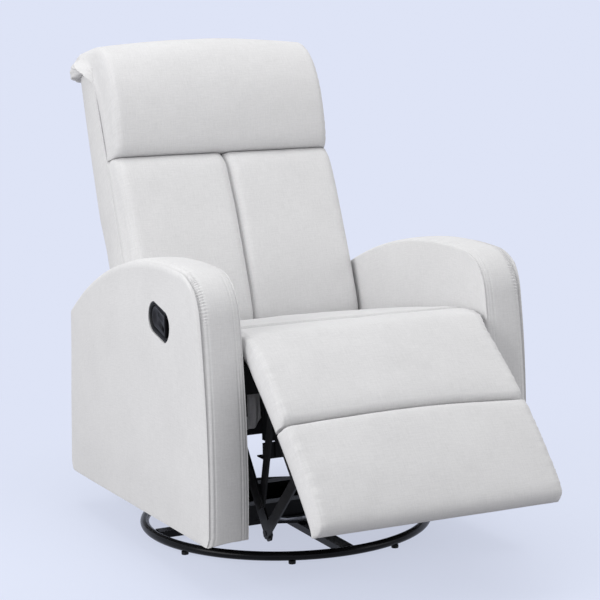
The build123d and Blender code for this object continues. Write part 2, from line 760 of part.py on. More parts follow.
def build_back_frame():
    top_up = shell_top - post_top_gap
    post = back_strip(post_front, post_front + post_depth, post_foot, top_up)
    put("back_posts", *both(between(post, post_x, post_x + post_width)))

    rails = []
    front = post_front + back_rail_inset
    for low, end in ((back_rail_low, bracket_plane), (back_rail_mid, post_x), (top_up - back_rail_height, post_x)):
        strip = back_strip(front, front + back_rail_thickness, low, low + back_rail_height)
        rails.append(between(strip, -end, end))
    put("back_rails", *rails)

    straps = []
    strap_end = post_x + strap_overlap
    for low in strap_heights:
        strip = back_strip(post_front - strap_thickness, post_front, low, low + strap_width)
        straps.append(between(strip, -strap_end, strap_end))
    put("back_webbing", *straps)

    post_middle = post_front + post_depth / 2
    lower, upper = back(post_middle, bracket_low), back(post_middle, bracket_high)
    bore = recline_pin_radius + pivot_clearance
    face = stamped((recline_pivot, bracket_lobe), (lower, bracket_lobe), (upper, bracket_tip),
                   holes=[(recline_pivot, bore)])
    put("back_brackets", *both(between(face, bracket_plane, bracket_plane + plate)))

    # outside back: a rear wall and two sides, open to the front
    wall, rear = back_skin, back_rear_low
    outer = [(back_boxing_front, 0), (rear, -back_tail), (rear, back_bend),
             (back_rear_high, shell_top), (back_boxing_front, shell_top)]
    front, low, high = back_boxing_front - 1, -back_tail - 1, shell_top + 1
    cavity = [(front, low), (rear - wall, low), (rear - wall, back_bend),
              (back_rear_high - wall, high), (front, high)]
    shell = between(back_side(outer), -back_half_width, back_half_width)
    shell -= between(back_side(cavity), -back_half_width + wall, back_half_width - wall)
    put("back_outer_shell", shell)


def back_strip(front, rear, low, high):
    """Side-view rectangle that lies along the back."""
    return back_side([(front, low), (rear, low), (rear, high), (front, high)])


def build_back_pads():
    inside = back_half_width - back_skin - soft_gap
    rear = post_front - strap_thickness - soft_gap
    welt = back_boxing_front - soft_gap
    low, high = 1.5, head_seam - soft_gap
    # two channels side by side, sewn down on the middle line
    edge = back_half_width
    turn, lip = (edge - back_round, 0), (channel_lip, seam_dip)
    plan = outline(
        Line((-inside, rear), (inside, rear)),
        *mirrored(Polyline((inside, rear), (inside, welt), (edge, welt))),
        *mirrored(ThreePointArc((edge, welt), (edge - back_round / 5, back_round / 5), turn)),
        *mirrored(ThreePointArc(turn, (edge / 2, -channel_crown), lip)),
        *mirrored(ThreePointArc(lip, (channel_lip * 0.36, channel_groove * 0.36), (0, channel_groove))),
    )
    side = outline(
        Polyline(back(14, 8), back(18, 9), back(22, -8), back(rear, -8), back(rear, high), back(20, high)),
        ThreePointArc(back(20, high), back(2, high - 16), back(-4, high - 60)),
        ThreePointArc(back(-4, high - 60), back(-7, high / 2), back(-3, 40)),
        ThreePointArc(back(-3, 40), back(2, 12), back(14, 8)),
    )
    cushion = across_back(plan, -20, high + 20) & between(side, -back_half_width - 1, back_half_width + 1)
    put("back_cushion", cushion)

    # head cushion: bulges forward, goes over the top and hangs behind as a roll
    seam = head_seam + soft_gap
    top = shell_top + soft_gap
    crest = top + head_rise
    swell = (seam + top) / 2 + 20
    hook = outline(
        Polyline(back(20, seam), back(rear, seam), back(rear, top), back(back_rear_high + 2, top)),
        ThreePointArc(back(back_rear_high + 2, top), back(roll_depth - 2, top + 12), back(roll_depth, top + 44)),
        ThreePointArc(back(roll_depth, top + 44), back(roll_depth - 30, crest), back(100, crest)),
        ThreePointArc(back(100, crest), back(30, crest - 20), back(-5, crest - 54)),
        ThreePointArc(back(-5, crest - 54), back(-head_bulge, swell), back(-12, seam + 50)),
        ThreePointArc(back(-12, seam + 50), back(0, seam + 14), back(20, seam)),
    )
    head = between(hook, -edge, edge)
    deep = roll_depth + 20
    turn = (edge - head_round, -10)
    plan = outline(
        Line((-edge, deep), (edge, deep)),
        *mirrored(Line((edge, deep), (edge, welt))),
        *mirrored(ThreePointArc((edge, welt), (edge - 10, 12), turn)),
        ThreePointArc(turn, (0, -head_bulge - 6), (-turn[0], turn[1])),
    )
    head &= across_back(plan, seam - 10, crest + 25)
    side_step = between(back_strip(welt, deep, seam - 5, top), inside, back_half_width + 1)
    for half in both(side_step):
        head -= half
    put("head_cushion", head)


# ---------------------------------------------------------------- footrest
def panel_block(point, along0, along1, out0, out1, x0, x1):
    corners = [point(along0, out0), point(along1, out0), point(along1, out1), point(along0, out1)]
    return between(polygon(*corners), x0, x1)


def across_panel(slope, origin, face, start, end):
    """Solid of a section (x, out) from one station along a footrest panel to another."""
    slope_sin, slope_cos = sin(radians(slope)), cos(radians(slope))
    base = on_panel(origin, slope, start, 0)
    section = Plane(origin=(0, base[0], base[1]), x_dir=(1, 0, 0), z_dir=(0, -slope_cos, -slope_sin))
    return extrude(section.location * face, amount=end - start, dir=(0, -slope_cos, -slope_sin))


def panel_section(half_width, low):
    """Section across a padded panel: straight sides, round shoulders and a crowned face."""
    corner, edge = panel_shoulder, panel_depth - 1
    side, turn = (half_width, edge - corner), (half_width - corner, edge)
    return outline(
        Line((-half_width, low), (half_width, low)),
        *mirrored(Line((half_width, low), side)),
        *mirrored(ThreePointArc(side, (half_width - corner * 0.3, edge - corner * 0.3), turn)),
        ThreePointArc(turn, (0, edge + panel_crown), (-turn[0], turn[1])),
    )


def build_footrest():
    half = chaise_half_width
    top = board_lift + board_thickness
    start = nose_radius + nose_gap
    calf_board_end = calf_length - bend_pull - 6
    put("calf_board", panel_block(calf, start, calf_board_end, board_lift, top, -half + 8, half - 8))
    put("foot_board", panel_block(foot, 6, foot_end - 14, board_lift, top, -half + 8, half - 8))

    # pads: crowned, and pinched where they meet
    low = top + soft_gap
    edge = panel_depth
    crease = calf_length - bend_pull
    pinch, turn = calf(calf_length - 1.2, edge - 12), calf(calf_length - 28, edge + 4)
    face = outline(
        Polyline(calf(30, edge + 2), calf(6, edge), calf(6, low), calf(crease + (low - 2) * 0.12, low), pinch),
        ThreePointArc(pinch, calf(calf_length - 8, edge - 1), turn),
        ThreePointArc(turn, calf(calf_length / 2, edge + 7), calf(30, edge + 2)),
    )
    pad = between(face, -half, half)
    pad &= across_panel(calf_slope, fold_pivot, panel_section(half, low), 0, calf_length + 20)
    pad -= rod(fold_pivot, nose_radius + nose_gap, -half, half)
    put("calf_pad", pad)

    pinch, turn = foot(bend_pull + 1.2, edge - 12), foot(bend_pull + 28, edge + 4)
    hem, toe = foot(foot_end - 2, board_lift), foot(foot_end - 10, edge - 2)
    face = outline(
        Polyline(pinch, foot((low - 2) * 0.12, low), foot(foot_end - 6, low), foot(foot_end - 6, board_lift), hem),
        ThreePointArc(hem, foot(foot_end, edge * 0.55), toe),
        ThreePointArc(toe, foot(foot_length / 2, edge + 8), turn),
        ThreePointArc(turn, foot(bend_pull + 8, edge - 1), pinch),
    )
    pad = between(face, -half, half)
    pad &= across_panel(foot_slope, foot_origin, panel_section(half, board_lift), -5, foot_end + 5)
    put("foot_pad", pad)

    ears = stamped((lower_joint, 15), (upper_joint, 14))
    web = polygon(lower_joint, upper_joint, calf(calf_flange[0], board_lift), calf(calf_flange[1], board_lift),
                  foot(foot_flange[0], board_lift), foot(foot_flange[1], board_lift))
    bracket = between(ears + web, bracket_x, bracket_x + plate)
    for point, flange in ((calf, calf_flange), (foot, foot_flange)):
        bracket += panel_block(point, *flange, 0, board_lift, bracket_x - flange_width, bracket_x)
    bracket += stud(lower_joint, link_pin_radius, bracket_x, lower_bar_x - 0.8)
    bracket += stud(upper_joint, link_pin_radius, bracket_x + plate, upper_bar_x + plate + 0.6)
    put("footrest_brackets", *both(bracket))
    tube_at = calf(cross_tube_along, board_lift - footrest_tube / 2)
    tube = square_tube(tube_at, footrest_tube, calf_slope)
    put("footrest_cross_tube", between(tube, -bracket_x, bracket_x))


def build_fold_hinge():
    """Long hinge: two knuckles on the seat's front rail, one between them on the calf board."""
    half = link_bay - hinge_side_gap
    split = half * 0.6
    leaf_back = seat_front_y - leaf_thickness
    fixed = block(-half, half, leaf_back, seat_front_y, fold_pivot[1] - 50, fold_pivot[1] - 9)
    bore = rod(fold_pivot, hinge_pin_radius + pivot_clearance, -half - 5, half + 5)
    for x0, x1 in ((-half, -split), (split, half)):
        arm = block(x0, x1, leaf_back - 1.5, seat_front_y, fold_pivot[1] - 9, fold_pivot[1] - 1)
        fixed += knuckle(x0, x1) + arm
    put("fold_hinge_fixed_leaf", fixed - bore)
    moving = panel_block(calf, 11, 92, board_lift - leaf_thickness, board_lift, -half, half)
    tongue = split - seat_gap
    moving += panel_block(calf, 2, 11, board_lift - leaf_thickness, board_lift, -tongue, tongue)
    moving += knuckle(-tongue, tongue)
    moving += rod(fold_pivot, hinge_pin_radius, -half, half)
    put("fold_hinge_moving_leaf", moving)


def knuckle(x0, x1):
    """Rolled knuckle of the long hinge."""
    return between(Pos(*fold_pivot) * RegularPolygon(knuckle_radius, knuckle_sides), x0, x1)


def build_footrest_links():
    fit = link_pin_radius + pivot_clearance
    loose = link_pin_radius + open_pivot_clearance
    head = link_width / 2 + 3
    rear = stamped((rear_link_pivot, head), (knee, knee_width / 2), holes=[(rear_link_pivot, fit)])
    rear = between(rear, inner_link_x, inner_link_x + plate)
    rear += stud(knee, link_pin_radius, inner_link_x + plate, lower_bar_x + plate + 1.2)
    put("rear_ottoman_links", *both(rear))
    tube = square_tube(rear_link_pivot, drive_tube, 0)
    put("drive_tube", between(tube, -inner_link_x, inner_link_x))
    bar_end = bar_width / 2
    lower = stamped((knee, bar_end), (lower_joint, bar_end), holes=[(knee, fit), (lower_joint, loose)])
    put("lower_ottoman_bars", *both(between(lower, lower_bar_x, lower_bar_x + plate)))

    end = link_width / 2
    front = stamped((front_link_pivot, end), (upper_knee, end), holes=[(front_link_pivot, fit)])
    front = between(front, outer_link_x, outer_link_x + plate)
    front += stud(upper_knee, link_pin_radius, outer_link_x, upper_bar_x - 1.2)
    put("front_ottoman_links", *both(front))
    upper = stamped((upper_knee, bar_end), (upper_joint, bar_end), holes=[(upper_knee, fit), (upper_joint, loose)])
    put("upper_ottoman_bars", *both(between(upper, upper_bar_x, upper_bar_x + plate)))


def report_pivots():
    """Print the joint axes in the exported frame."""
    for name, (y, z) in (
        ("glide upper", front_pivots[0]), ("glide lower", front_pivots[1]),
        ("rear glide upper", rear_pivots[0]),
        ("recline", recline_pivot), ("fold", fold_pivot), ("rear link", rear_link_pivot), ("knee", knee),
        ("front link", front_link_pivot), ("upper knee", upper_knee), ("paddle", paddle_axis()),
        ("lower joint", lower_joint), ("upper joint", upper_joint), ("swivel", (0, 0)),
    ):
        print(f"pivot {name}: y {y + swivel_axis_y:.4f} z {z:.4f}")


build_base()
build_swivel()
build_glide_links()
build_side_plates()
build_seat_box()
build_arms()
build_lever()
build_seat_pads()
build_back_frame()
build_back_pads()
build_footrest()
build_fold_hinge()
build_footrest_links()
report_pivots()
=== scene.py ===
import json
import logging
import math
from collections.abc import Callable, Sequence
from dataclasses import dataclass
from enum import Enum

import bmesh
import bpy
from mathutils import Matrix, Vector, noise


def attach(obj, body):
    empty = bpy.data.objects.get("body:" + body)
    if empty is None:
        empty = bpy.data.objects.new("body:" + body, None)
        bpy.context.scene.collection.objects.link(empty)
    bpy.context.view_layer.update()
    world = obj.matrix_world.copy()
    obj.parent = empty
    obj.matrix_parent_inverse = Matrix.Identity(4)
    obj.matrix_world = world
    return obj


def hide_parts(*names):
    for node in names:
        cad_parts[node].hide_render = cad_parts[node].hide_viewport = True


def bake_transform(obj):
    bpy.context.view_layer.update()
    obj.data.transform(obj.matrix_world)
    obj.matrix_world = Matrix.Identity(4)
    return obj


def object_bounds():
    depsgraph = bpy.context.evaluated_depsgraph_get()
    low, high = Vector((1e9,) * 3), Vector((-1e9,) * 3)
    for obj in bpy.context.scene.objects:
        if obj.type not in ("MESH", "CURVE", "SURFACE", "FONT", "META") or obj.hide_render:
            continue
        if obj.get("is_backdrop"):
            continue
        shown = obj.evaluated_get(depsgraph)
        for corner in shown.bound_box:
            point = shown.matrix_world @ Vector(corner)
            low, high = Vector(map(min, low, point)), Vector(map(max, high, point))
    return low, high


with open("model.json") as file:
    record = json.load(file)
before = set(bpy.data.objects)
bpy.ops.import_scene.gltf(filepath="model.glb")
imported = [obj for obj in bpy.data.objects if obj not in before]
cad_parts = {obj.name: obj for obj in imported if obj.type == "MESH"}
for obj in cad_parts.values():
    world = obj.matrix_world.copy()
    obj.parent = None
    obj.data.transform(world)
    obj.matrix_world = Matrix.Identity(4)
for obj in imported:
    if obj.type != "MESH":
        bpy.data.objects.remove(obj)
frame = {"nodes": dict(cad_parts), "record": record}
CAD_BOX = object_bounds()
LOG = logging.getLogger("recliner")

WEAVE_UV = "weave"

# Places and sizes of the chair, in metres: +Z is up and the chair faces -Y.
SWIVEL_Y = 0.0787


def at(y: float, z: float) -> Vector:
    """Side-view point, as (y, z), from its distance behind the swivel axis and its height."""
    return Vector((y + SWIVEL_Y, z))


FOLD = at(-0.380, 0.447)                 # axis of the footrest's hinge
CALF_SLOPE = math.radians(38.7)
FOOT_SLOPE = math.radians(47.0)
PANEL_DEPTH = 0.050                      # from the hinge axis to the fabric
CALF_LENGTH = 0.195
FOOT_LENGTH = 0.219
BOARD_FACE = 0.0032                      # underside of the footrest's pads
BACK_FOOT = at(0.129, 0.425)
BACK_LEAN = math.radians(22.4)
BACK_HALF_WIDTH = 0.265
HEAD_SEAM = 0.408
WELT_DEPTH = 0.060                       # of the seam between the cushions and the shell
CUSHION_REAR = WELT_DEPTH - 0.0004       # depth of the cushions' rear faces
CHAISE_SEAM = -0.312                     # seam between the seat and the chaise
SEAT_SLOPE = -0.170


def on_back(depth: float, up: float) -> Vector:
    """Side-view point from its depth behind the back's face and its height along it."""
    return BACK_FOOT + Vector((depth * math.cos(BACK_LEAN) + up * math.sin(BACK_LEAN),
                               up * math.cos(BACK_LEAN) - depth * math.sin(BACK_LEAN)))


def on_panel(origin: Vector, slope: float, along: float, out: float) -> Vector:
    """Side-view point on a footrest panel, from its distance along it and out of it."""
    return origin + Vector((-along * math.cos(slope) - out * math.sin(slope),
                            -along * math.sin(slope) + out * math.cos(slope)))


def on_calf(along: float, out: float) -> Vector:
    """Side-view point on the calf panel."""
    return on_panel(FOLD, CALF_SLOPE, along, out)


BEND_PULL = PANEL_DEPTH * math.tan((FOOT_SLOPE - CALF_SLOPE) / 2)
FOOT_ORIGIN = on_calf(CALF_LENGTH - BEND_PULL, 0)


def on_foot(along: float, out: float) -> Vector:
    """Side-view point on the foot panel."""
    return on_panel(FOOT_ORIGIN, FOOT_SLOPE, along, out)


def ease(value: float) -> float:
    """Smooth step from 0 to 1."""
    value = min(max(value, 0.0), 1.0)
    return value * value * (3 - 2 * value)


def dent(distance: float, width: float) -> float:
    """Share of a seam's depth at a distance from its line."""
    return math.exp(-(distance / width) ** 2)


def swell_edge(distance: float, width: float, power: float = 2.2) -> float:
    """Share of a pad's height at a distance in from its edge: a quarter of an oval.

    Args:
        distance: Distance in from the edge.
        width: Distance at which the pad is at its full height.
        power: Squareness of the oval; 2 gives an ellipse.

    Returns:
        Share of the height, 0 to 1.
    """
    if distance >= width:
        return 1.0
    return (1 - (1 - max(distance, 0.0) / width) ** power) ** (1 / power)


def stations(low: float, high: float, count: int, lines: Sequence[float] = (),
             tight: float = 0.0015) -> list[float]:
    """Even stations with close ones at each seam line.

    Args:
        low: First station.
        high: Last station.
        count: Number of even stations.
        lines: Where seams run.
        tight: Spacing of the stations beside a seam.

    Returns:
        Rising list of stations.
    """
    offsets = (-3, -1.2, 0, 1.2, 3)
    near = sorted({round(line + offset * tight, 6) for line in lines for offset in offsets
                   if low < line + offset * tight < high})
    step = (high - low) / (count - 1)
    clear = min(step * 0.45, 0.006)
    even = [low + step * index for index in range(1, count - 1)]
    kept = [value for value in even if all(abs(value - line) > clear for line in near)]
    return sorted([low, high, *kept, *near])


class Trail:
    """Smooth side-view line through a few points, read by its share of length."""

    SAMPLES = 24

    def __init__(self, *points: Vector | tuple[float, float]) -> None:
        """Keep the points and measure the line.

        Args:
            *points: Side-view points that the line passes through.
        """
        knots = [Vector(point) for point in points]
        padded = [2 * knots[0] - knots[1], *knots, 2 * knots[-1] - knots[-2]]
        self._line = []
        for index in range(len(knots) - 1):
            before, start, end, after = padded[index:index + 4]
            steps = self.SAMPLES + (index == len(knots) - 2)
            for step in range(steps):
                t = step / self.SAMPLES
                self._line.append(0.5 * (2 * start + (end - before) * t
                                         + (2 * before - 5 * start + 4 * end - after) * t * t
                                         + (3 * start - before - 3 * end + after) * t ** 3))
        self._reach = [0.0]
        for start, end in zip(self._line, self._line[1:]):
            self._reach.append(self._reach[-1] + (end - start).length)
        self.length = self._reach[-1]

    def at(self, share: float) -> Vector:
        """Point at a share of the line's length.

        Args:
            share: Share of the length, from 0 to 1.

        Returns:
            Side-view point.
        """
        goal = min(max(share, 0.0), 1.0) * self.length
        low, high = 0, len(self._reach) - 1
        while high - low > 1:
            middle = (low + high) // 2
            low, high = (middle, high) if self._reach[middle] <= goal else (low, middle)
        run = self._reach[high] - self._reach[low]
        return self._line[low].lerp(self._line[high], (goal - self._reach[low]) / run if run else 0.0)


def to_object(name: str, mesh: bmesh.types.BMesh, smooth: bool = True) -> bpy.types.Object:
    """Turn a bmesh into an object at the origin, with its faces pointing outwards.

    Args:
        name: Name of the piece.
        mesh: The finished bmesh, which is freed.
        smooth: Whether the faces are shaded smooth.

    Returns:
        The new object, linked to the scene.
    """
    bmesh.ops.recalc_face_normals(mesh, faces=mesh.faces)
    data = bpy.data.meshes.new(name)
    mesh.to_mesh(data)
    mesh.free()
    data.polygons.foreach_set("use_smooth", [smooth] * len(data.polygons))
    piece = bpy.data.objects.new(name, data)
    bpy.context.scene.collection.objects.link(piece)
    return piece


@dataclass(frozen=True)
class Lattice:
    """Closed block laid out on three lists of stations, which a function then shapes."""

    across: Sequence[float]
    along: Sequence[float]
    through: Sequence[float]

    def build(self, name: str, place: Callable[[float, float, float], Vector],
              measure: tuple[float, float, float]) -> bpy.types.Object:
        """Make the piece.

        Args:
            name: Name of the piece.
            place: Gives a point of the piece from its three stations.
            measure: Metres that one unit of each kind of station stands for, for the weave.

        Returns:
            The piece, with a weave map in metres.
        """
        mesh = bmesh.new()
        bmesh.ops.create_cube(mesh, size=2.0)
        lists = (self.across, self.along, self.through)
        for axis, values in enumerate(lists):
            edges = [edge for edge in mesh.edges
                     if abs(edge.verts[0].co[axis] - edge.verts[1].co[axis]) > 1e-4]
            if len(values) > 2:
                bmesh.ops.subdivide_edges(mesh, edges=edges, cuts=len(values) - 2, use_grid_fill=True)
        weave = mesh.loops.layers.uv.new(WEAVE_UV)
        mesh.verts.index_update()
        rest = []
        for vert in mesh.verts:
            picked = [values[round((vert.co[axis] + 1) / 2 * (len(values) - 1))]
                      for axis, values in enumerate(lists)]
            rest.append(picked)
            vert.co = place(*picked)
        for face in mesh.faces:
            corners = list(zip(*(rest[vert.index] for vert in face.verts)))
            spans = [max(values) - min(values) for values in corners]
            flat = spans.index(min(spans))
            first, second = [axis for axis in range(3) if axis != flat]
            for loop in face.loops:
                spot = rest[loop.vert.index]
                loop[weave].uv = (spot[first] * measure[first], spot[second] * measure[second])
        return to_object(name, mesh)


# ---------------------------------------------------------------- finishes
class Graph:
    """Small helper that builds one material's nodes."""

    def __init__(self, name: str) -> None:
        """Start with a shader and an output.

        Args:
            name: Name of the material.
        """
        self.material = bpy.data.materials.new(name)
        self.material.use_nodes = True
        self._tree = self.material.node_tree
        self._tree.nodes.clear()
        self.shader = self.add("ShaderNodeBsdfPrincipled")
        self.output = self.add("ShaderNodeOutputMaterial")
        self.link(self.shader.outputs["BSDF"], self.output.inputs["Surface"])

    def add(self, kind: str, **values: object) -> bpy.types.Node:
        """Add a node.

        Args:
            kind: Type of the node.
            **values: Its properties, or its sockets with underscores for spaces.

        Returns:
            The new node.
        """
        node = self._tree.nodes.new(kind)
        for key, value in values.items():
            if hasattr(node, key):
                setattr(node, key, value)
            else:
                node.inputs[key.replace("_", " ")].default_value = value
        return node

    def link(self, start: bpy.types.NodeSocket, end: bpy.types.NodeSocket) -> None:
        """Join two sockets."""
        self._tree.links.new(start, end)

    def set(self, **values: object) -> None:
        """Set constants on the shader."""
        for key, value in values.items():
            self.shader.inputs[key.replace("_", " ")].default_value = value

    def place(self, uv: bool, scale: tuple[float, float, float]) -> bpy.types.NodeSocket:
        """Scaled pattern coordinates.

        Args:
            uv: Whether they come from the weave map; otherwise from the object.
            scale: Scale along each axis.

        Returns:
            Socket of the coordinates.
        """
        if uv:
            source = self.add("ShaderNodeUVMap", uv_map=WEAVE_UV).outputs["UV"]
        else:
            source = self.add("ShaderNodeTexCoord").outputs["Object"]
        mapping = self.add("ShaderNodeMapping", Scale=scale)
        self.link(source, mapping.inputs["Vector"])
        return mapping.outputs["Vector"]

    def noise(self, uv: bool, scale: tuple[float, float, float],
              detail: float = 2.0) -> bpy.types.NodeSocket:
        """Noise stretched as the scale says.

        Args:
            uv: Whether it lies on the weave map; otherwise in the object's space.
            scale: Waves per metre along each axis.
            detail: Octaves of finer noise.

        Returns:
            Socket of the noise.
        """
        node = self.add("ShaderNodeTexNoise", Scale=1.0, Detail=detail, Roughness=0.6)
        self.link(self.place(uv, scale), node.inputs["Vector"])
        return node.outputs["Fac"]

    def math(self, operation: str, first: bpy.types.NodeSocket, second: object) -> bpy.types.NodeSocket:
        """Combine a socket with a socket or a number.

        Args:
            operation: Name of the operation.
            first: First term.
            second: Second term.

        Returns:
            Socket of the result.
        """
        node = self.add("ShaderNodeMath", operation=operation)
        self.link(first, node.inputs[0])
        if isinstance(second, bpy.types.NodeSocket):
            self.link(second, node.inputs[1])
        else:
            node.inputs[1].default_value = second
        return node.outputs["Value"]

    def weigh(self, first: bpy.types.NodeSocket, share: float, second: bpy.types.NodeSocket,
              rest: float) -> bpy.types.NodeSocket:
        """Sum of two sockets, each times its share."""
        return self.math("ADD", self.math("MULTIPLY", first, share), self.math("MULTIPLY", second, rest))

    def average(self, first: bpy.types.NodeSocket, second: bpy.types.NodeSocket) -> bpy.types.NodeSocket:
        """Mean of two sockets."""
        return self.math("MULTIPLY", self.math("ADD", first, second), 0.5)

    def colour(self, value: bpy.types.NodeSocket, low: Sequence[float], high: Sequence[float],
               start: float = 0.3, end: float = 0.7) -> None:
        """Colour the surface between two tones, over a stretch of the value.

        Args:
            value: Socket that is read.
            low: Colour up to the start.
            high: Colour from the end.
            start: Value at which the change begins.
            end: Value at which it is complete.
        """
        node = self.add("ShaderNodeValToRGB")
        node.color_ramp.elements[0].position = start
        node.color_ramp.elements[1].position = end
        node.color_ramp.elements[0].color = (*low, 1.0)
        node.color_ramp.elements[1].color = (*high, 1.0)
        self.link(value, node.inputs["Fac"])
        self.link(node.outputs["Color"], self.shader.inputs["Base Color"])

    def roughness(self, value: bpy.types.NodeSocket, share: float, base: float) -> None:
        """Let the surface's roughness rise from its base with the value."""
        rough = self.math("ADD", self.math("MULTIPLY", value, share), base)
        self.link(rough, self.shader.inputs["Roughness"])

    def bump(self, height: bpy.types.NodeSocket, strength: float, distance: float) -> None:
        """Relief on the whole surface.

        Args:
            height: Socket of the height.
            strength: Share of the relief that is used.
            distance: Height of the relief in metres.
        """
        node = self.add("ShaderNodeBump", Strength=strength, Distance=distance)
        self.link(height, node.inputs["Height"])
        self.link(node.outputs["Normal"], self.shader.inputs["Normal"])


@dataclass(frozen=True)
class WovenFinish:
    """Linen-look cloth: slubby threads both ways, slightly heathered."""

    name: str
    dark: tuple[float, float, float]
    light: tuple[float, float, float]
    on_map: bool = True
    slub_length: float = 34.0       # slubs per metre along a thread
    slub_width: float = 420.0       # slubs per metre across the threads
    thread: float = 900.0           # threads per metre
    relief: float = 0.00035
    sheen: float = 0.12
    clouds: float = 9.0             # pale and dark patches per metre

    THREAD_SHARE, SLUB_SHARE, CLOUD_SHARE = 0.4, 0.45, 0.15     # of the tone
    TONE_SPAN = (0.36, 0.64)        # of the noise that runs from dark to light

    def build(self) -> bpy.types.Material:
        """Make the material.

        Returns:
            The material.
        """
        graph = Graph(self.name)
        short = self.slub_length * 4
        warp = graph.noise(self.on_map, (self.thread, short, self.thread))
        weft = graph.noise(self.on_map, (short, self.thread, short))
        threads = graph.average(warp, weft)
        long_warp = graph.noise(self.on_map, (self.slub_width, self.slub_length, self.slub_width))
        long_weft = graph.noise(self.on_map, (self.slub_length, self.slub_width, self.slub_length))
        slubs = graph.average(long_warp, long_weft)
        cloud = graph.noise(False, (self.clouds,) * 3)
        tone = graph.weigh(threads, self.THREAD_SHARE, slubs, self.SLUB_SHARE)
        tone = graph.math("ADD", tone, graph.math("MULTIPLY", cloud, self.CLOUD_SHARE))
        graph.colour(tone, self.dark, self.light, *self.TONE_SPAN)
        graph.set(Roughness=0.92, Sheen_Weight=self.sheen, Sheen_Roughness=0.5, Specular_IOR_Level=0.2)
        graph.bump(threads, 0.55, self.relief)
        return graph.material


@dataclass(frozen=True)
class PaintFinish:
    """Black paint on steel, with a faint orange peel."""

    name: str
    colour: tuple[float, float, float]
    roughness: float
    peel: float = 0.0001

    def build(self) -> bpy.types.Material:
        """Make the material.

        Returns:
            The material.
        """
        graph = Graph(self.name)
        spots = graph.noise(False, (260.0,) * 3)
        wear = graph.noise(False, (14.0,) * 3, 4.0)
        lift = tuple(min(1.0, part * 1.7 + 0.006) for part in self.colour)
        graph.colour(wear, self.colour, lift, 0.45, 0.8)
        graph.roughness(wear, 0.16, self.roughness - 0.08)
        graph.set(Specular_IOR_Level=0.14)
        graph.bump(spots, 0.25, self.peel)
        return graph.material


@dataclass(frozen=True)
class PlasticFinish:
    """Moulded plastic with a fine spark grain."""

    name: str
    colour: tuple[float, float, float]
    roughness: float
    grain: float = 900.0

    def build(self) -> bpy.types.Material:
        """Make the material.

        Returns:
            The material.
        """
        graph = Graph(self.name)
        grain = graph.noise(False, (self.grain,) * 3, 3.0)
        lift = tuple(part * 1.25 for part in self.colour)
        graph.colour(grain, self.colour, lift, 0.4)
        graph.set(Roughness=self.roughness, Specular_IOR_Level=0.16)
        graph.bump(grain, 0.3, 0.00008)
        return graph.material


@dataclass(frozen=True)
class SteelFinish:
    """Bare rolled steel, brushed along X."""

    name: str
    colour: tuple[float, float, float]

    def build(self) -> bpy.types.Material:
        """Make the material.

        Returns:
            The material.
        """
        graph = Graph(self.name)
        brush = graph.noise(False, (25.0, 900.0, 900.0))
        lift = tuple(part * 1.3 for part in self.colour)
        graph.colour(brush, self.colour, lift)
        graph.roughness(brush, 0.2, 0.25)
        graph.set(Metallic=1.0)
        graph.bump(brush, 0.15, 0.00005)
        return graph.material


@dataclass(frozen=True)
class TimberFinish:
    """Sawn boards with grain along Y."""

    name: str
    dark: tuple[float, float, float]
    light: tuple[float, float, float]

    def build(self) -> bpy.types.Material:
        """Make the material.

        Returns:
            The material.
        """
        graph = Graph(self.name)
        rings = graph.noise(False, (60.0, 4.0, 60.0), 4.0)
        pores = graph.noise(False, (700.0, 40.0, 700.0))
        graph.colour(graph.weigh(rings, 0.75, pores, 0.25), self.dark, self.light)
        graph.set(Roughness=0.75)
        graph.bump(pores, 0.3, 0.0003)
        return graph.material


CLOTH_DARK = (0.640, 0.638, 0.642)
CLOTH_LIGHT = (0.770, 0.768, 0.772)


class Finish(Enum):
    """Finish of each material slot of the record."""

    UPHOLSTERY = WovenFinish("pale_linen", CLOTH_DARK, CLOTH_LIGHT)
    HIDDEN_CLOTH = WovenFinish("pale_linen_plain", CLOTH_DARK, CLOTH_LIGHT, on_map=False)
    LINING = WovenFinish("grey_lining", (0.50, 0.50, 0.52), (0.70, 0.70, 0.72), thread=1500.0, sheen=0.1)
    WEBBING = WovenFinish("webbing", (0.10, 0.09, 0.08), (0.17, 0.15, 0.13), on_map=False, thread=500.0,
                          sheen=0.0)
    DUST_COVER = WovenFinish("black_lining", (0.010, 0.010, 0.011), (0.020, 0.020, 0.021), on_map=False,
                             sheen=0.0)
    BASE_PAINT = PaintFinish("gloss_black", (0.0035, 0.0035, 0.004), 0.24)
    MECHANISM_PAINT = PaintFinish("satin_black", (0.0045, 0.0045, 0.005), 0.42)
    STEEL = SteelFinish("rolled_steel", (0.33, 0.33, 0.34))
    TIMBER = TimberFinish("sawn_timber", (0.30, 0.19, 0.10), (0.52, 0.37, 0.22))
    RUBBER = PlasticFinish("black_rubber", (0.012, 0.012, 0.012), 0.6, grain=500.0)
    LEVER_PLASTIC = PlasticFinish("charcoal_plastic", (0.020, 0.021, 0.023), 0.45)
    PADDLE_PLASTIC = PlasticFinish("satin_charcoal_plastic", (0.012, 0.012, 0.014), 0.34)
    CUP_PLASTIC = PlasticFinish("black_plastic", (0.003, 0.003, 0.003), 0.55)


SLOT_FINISH = {
    "upholstery": Finish.HIDDEN_CLOTH,
    "arm_upholstery": Finish.HIDDEN_CLOTH,
    "frame_wood": Finish.TIMBER,
    "base_paint": Finish.BASE_PAINT,
    "mechanism_paint": Finish.MECHANISM_PAINT,
    "plain_steel": Finish.STEEL,
    "foot_rubber": Finish.RUBBER,
    "lever_plastic": Finish.LEVER_PLASTIC,
    "paddle_plastic": Finish.PADDLE_PLASTIC,
    "webbing": Finish.WEBBING,
    "lining_cloth": Finish.LINING,
}
COVERED_BOARDS = ("seat_side_rails", "seat_front_rail", "seat_rear_rail", "rear_tie_board", "calf_board",
                  "foot_board")


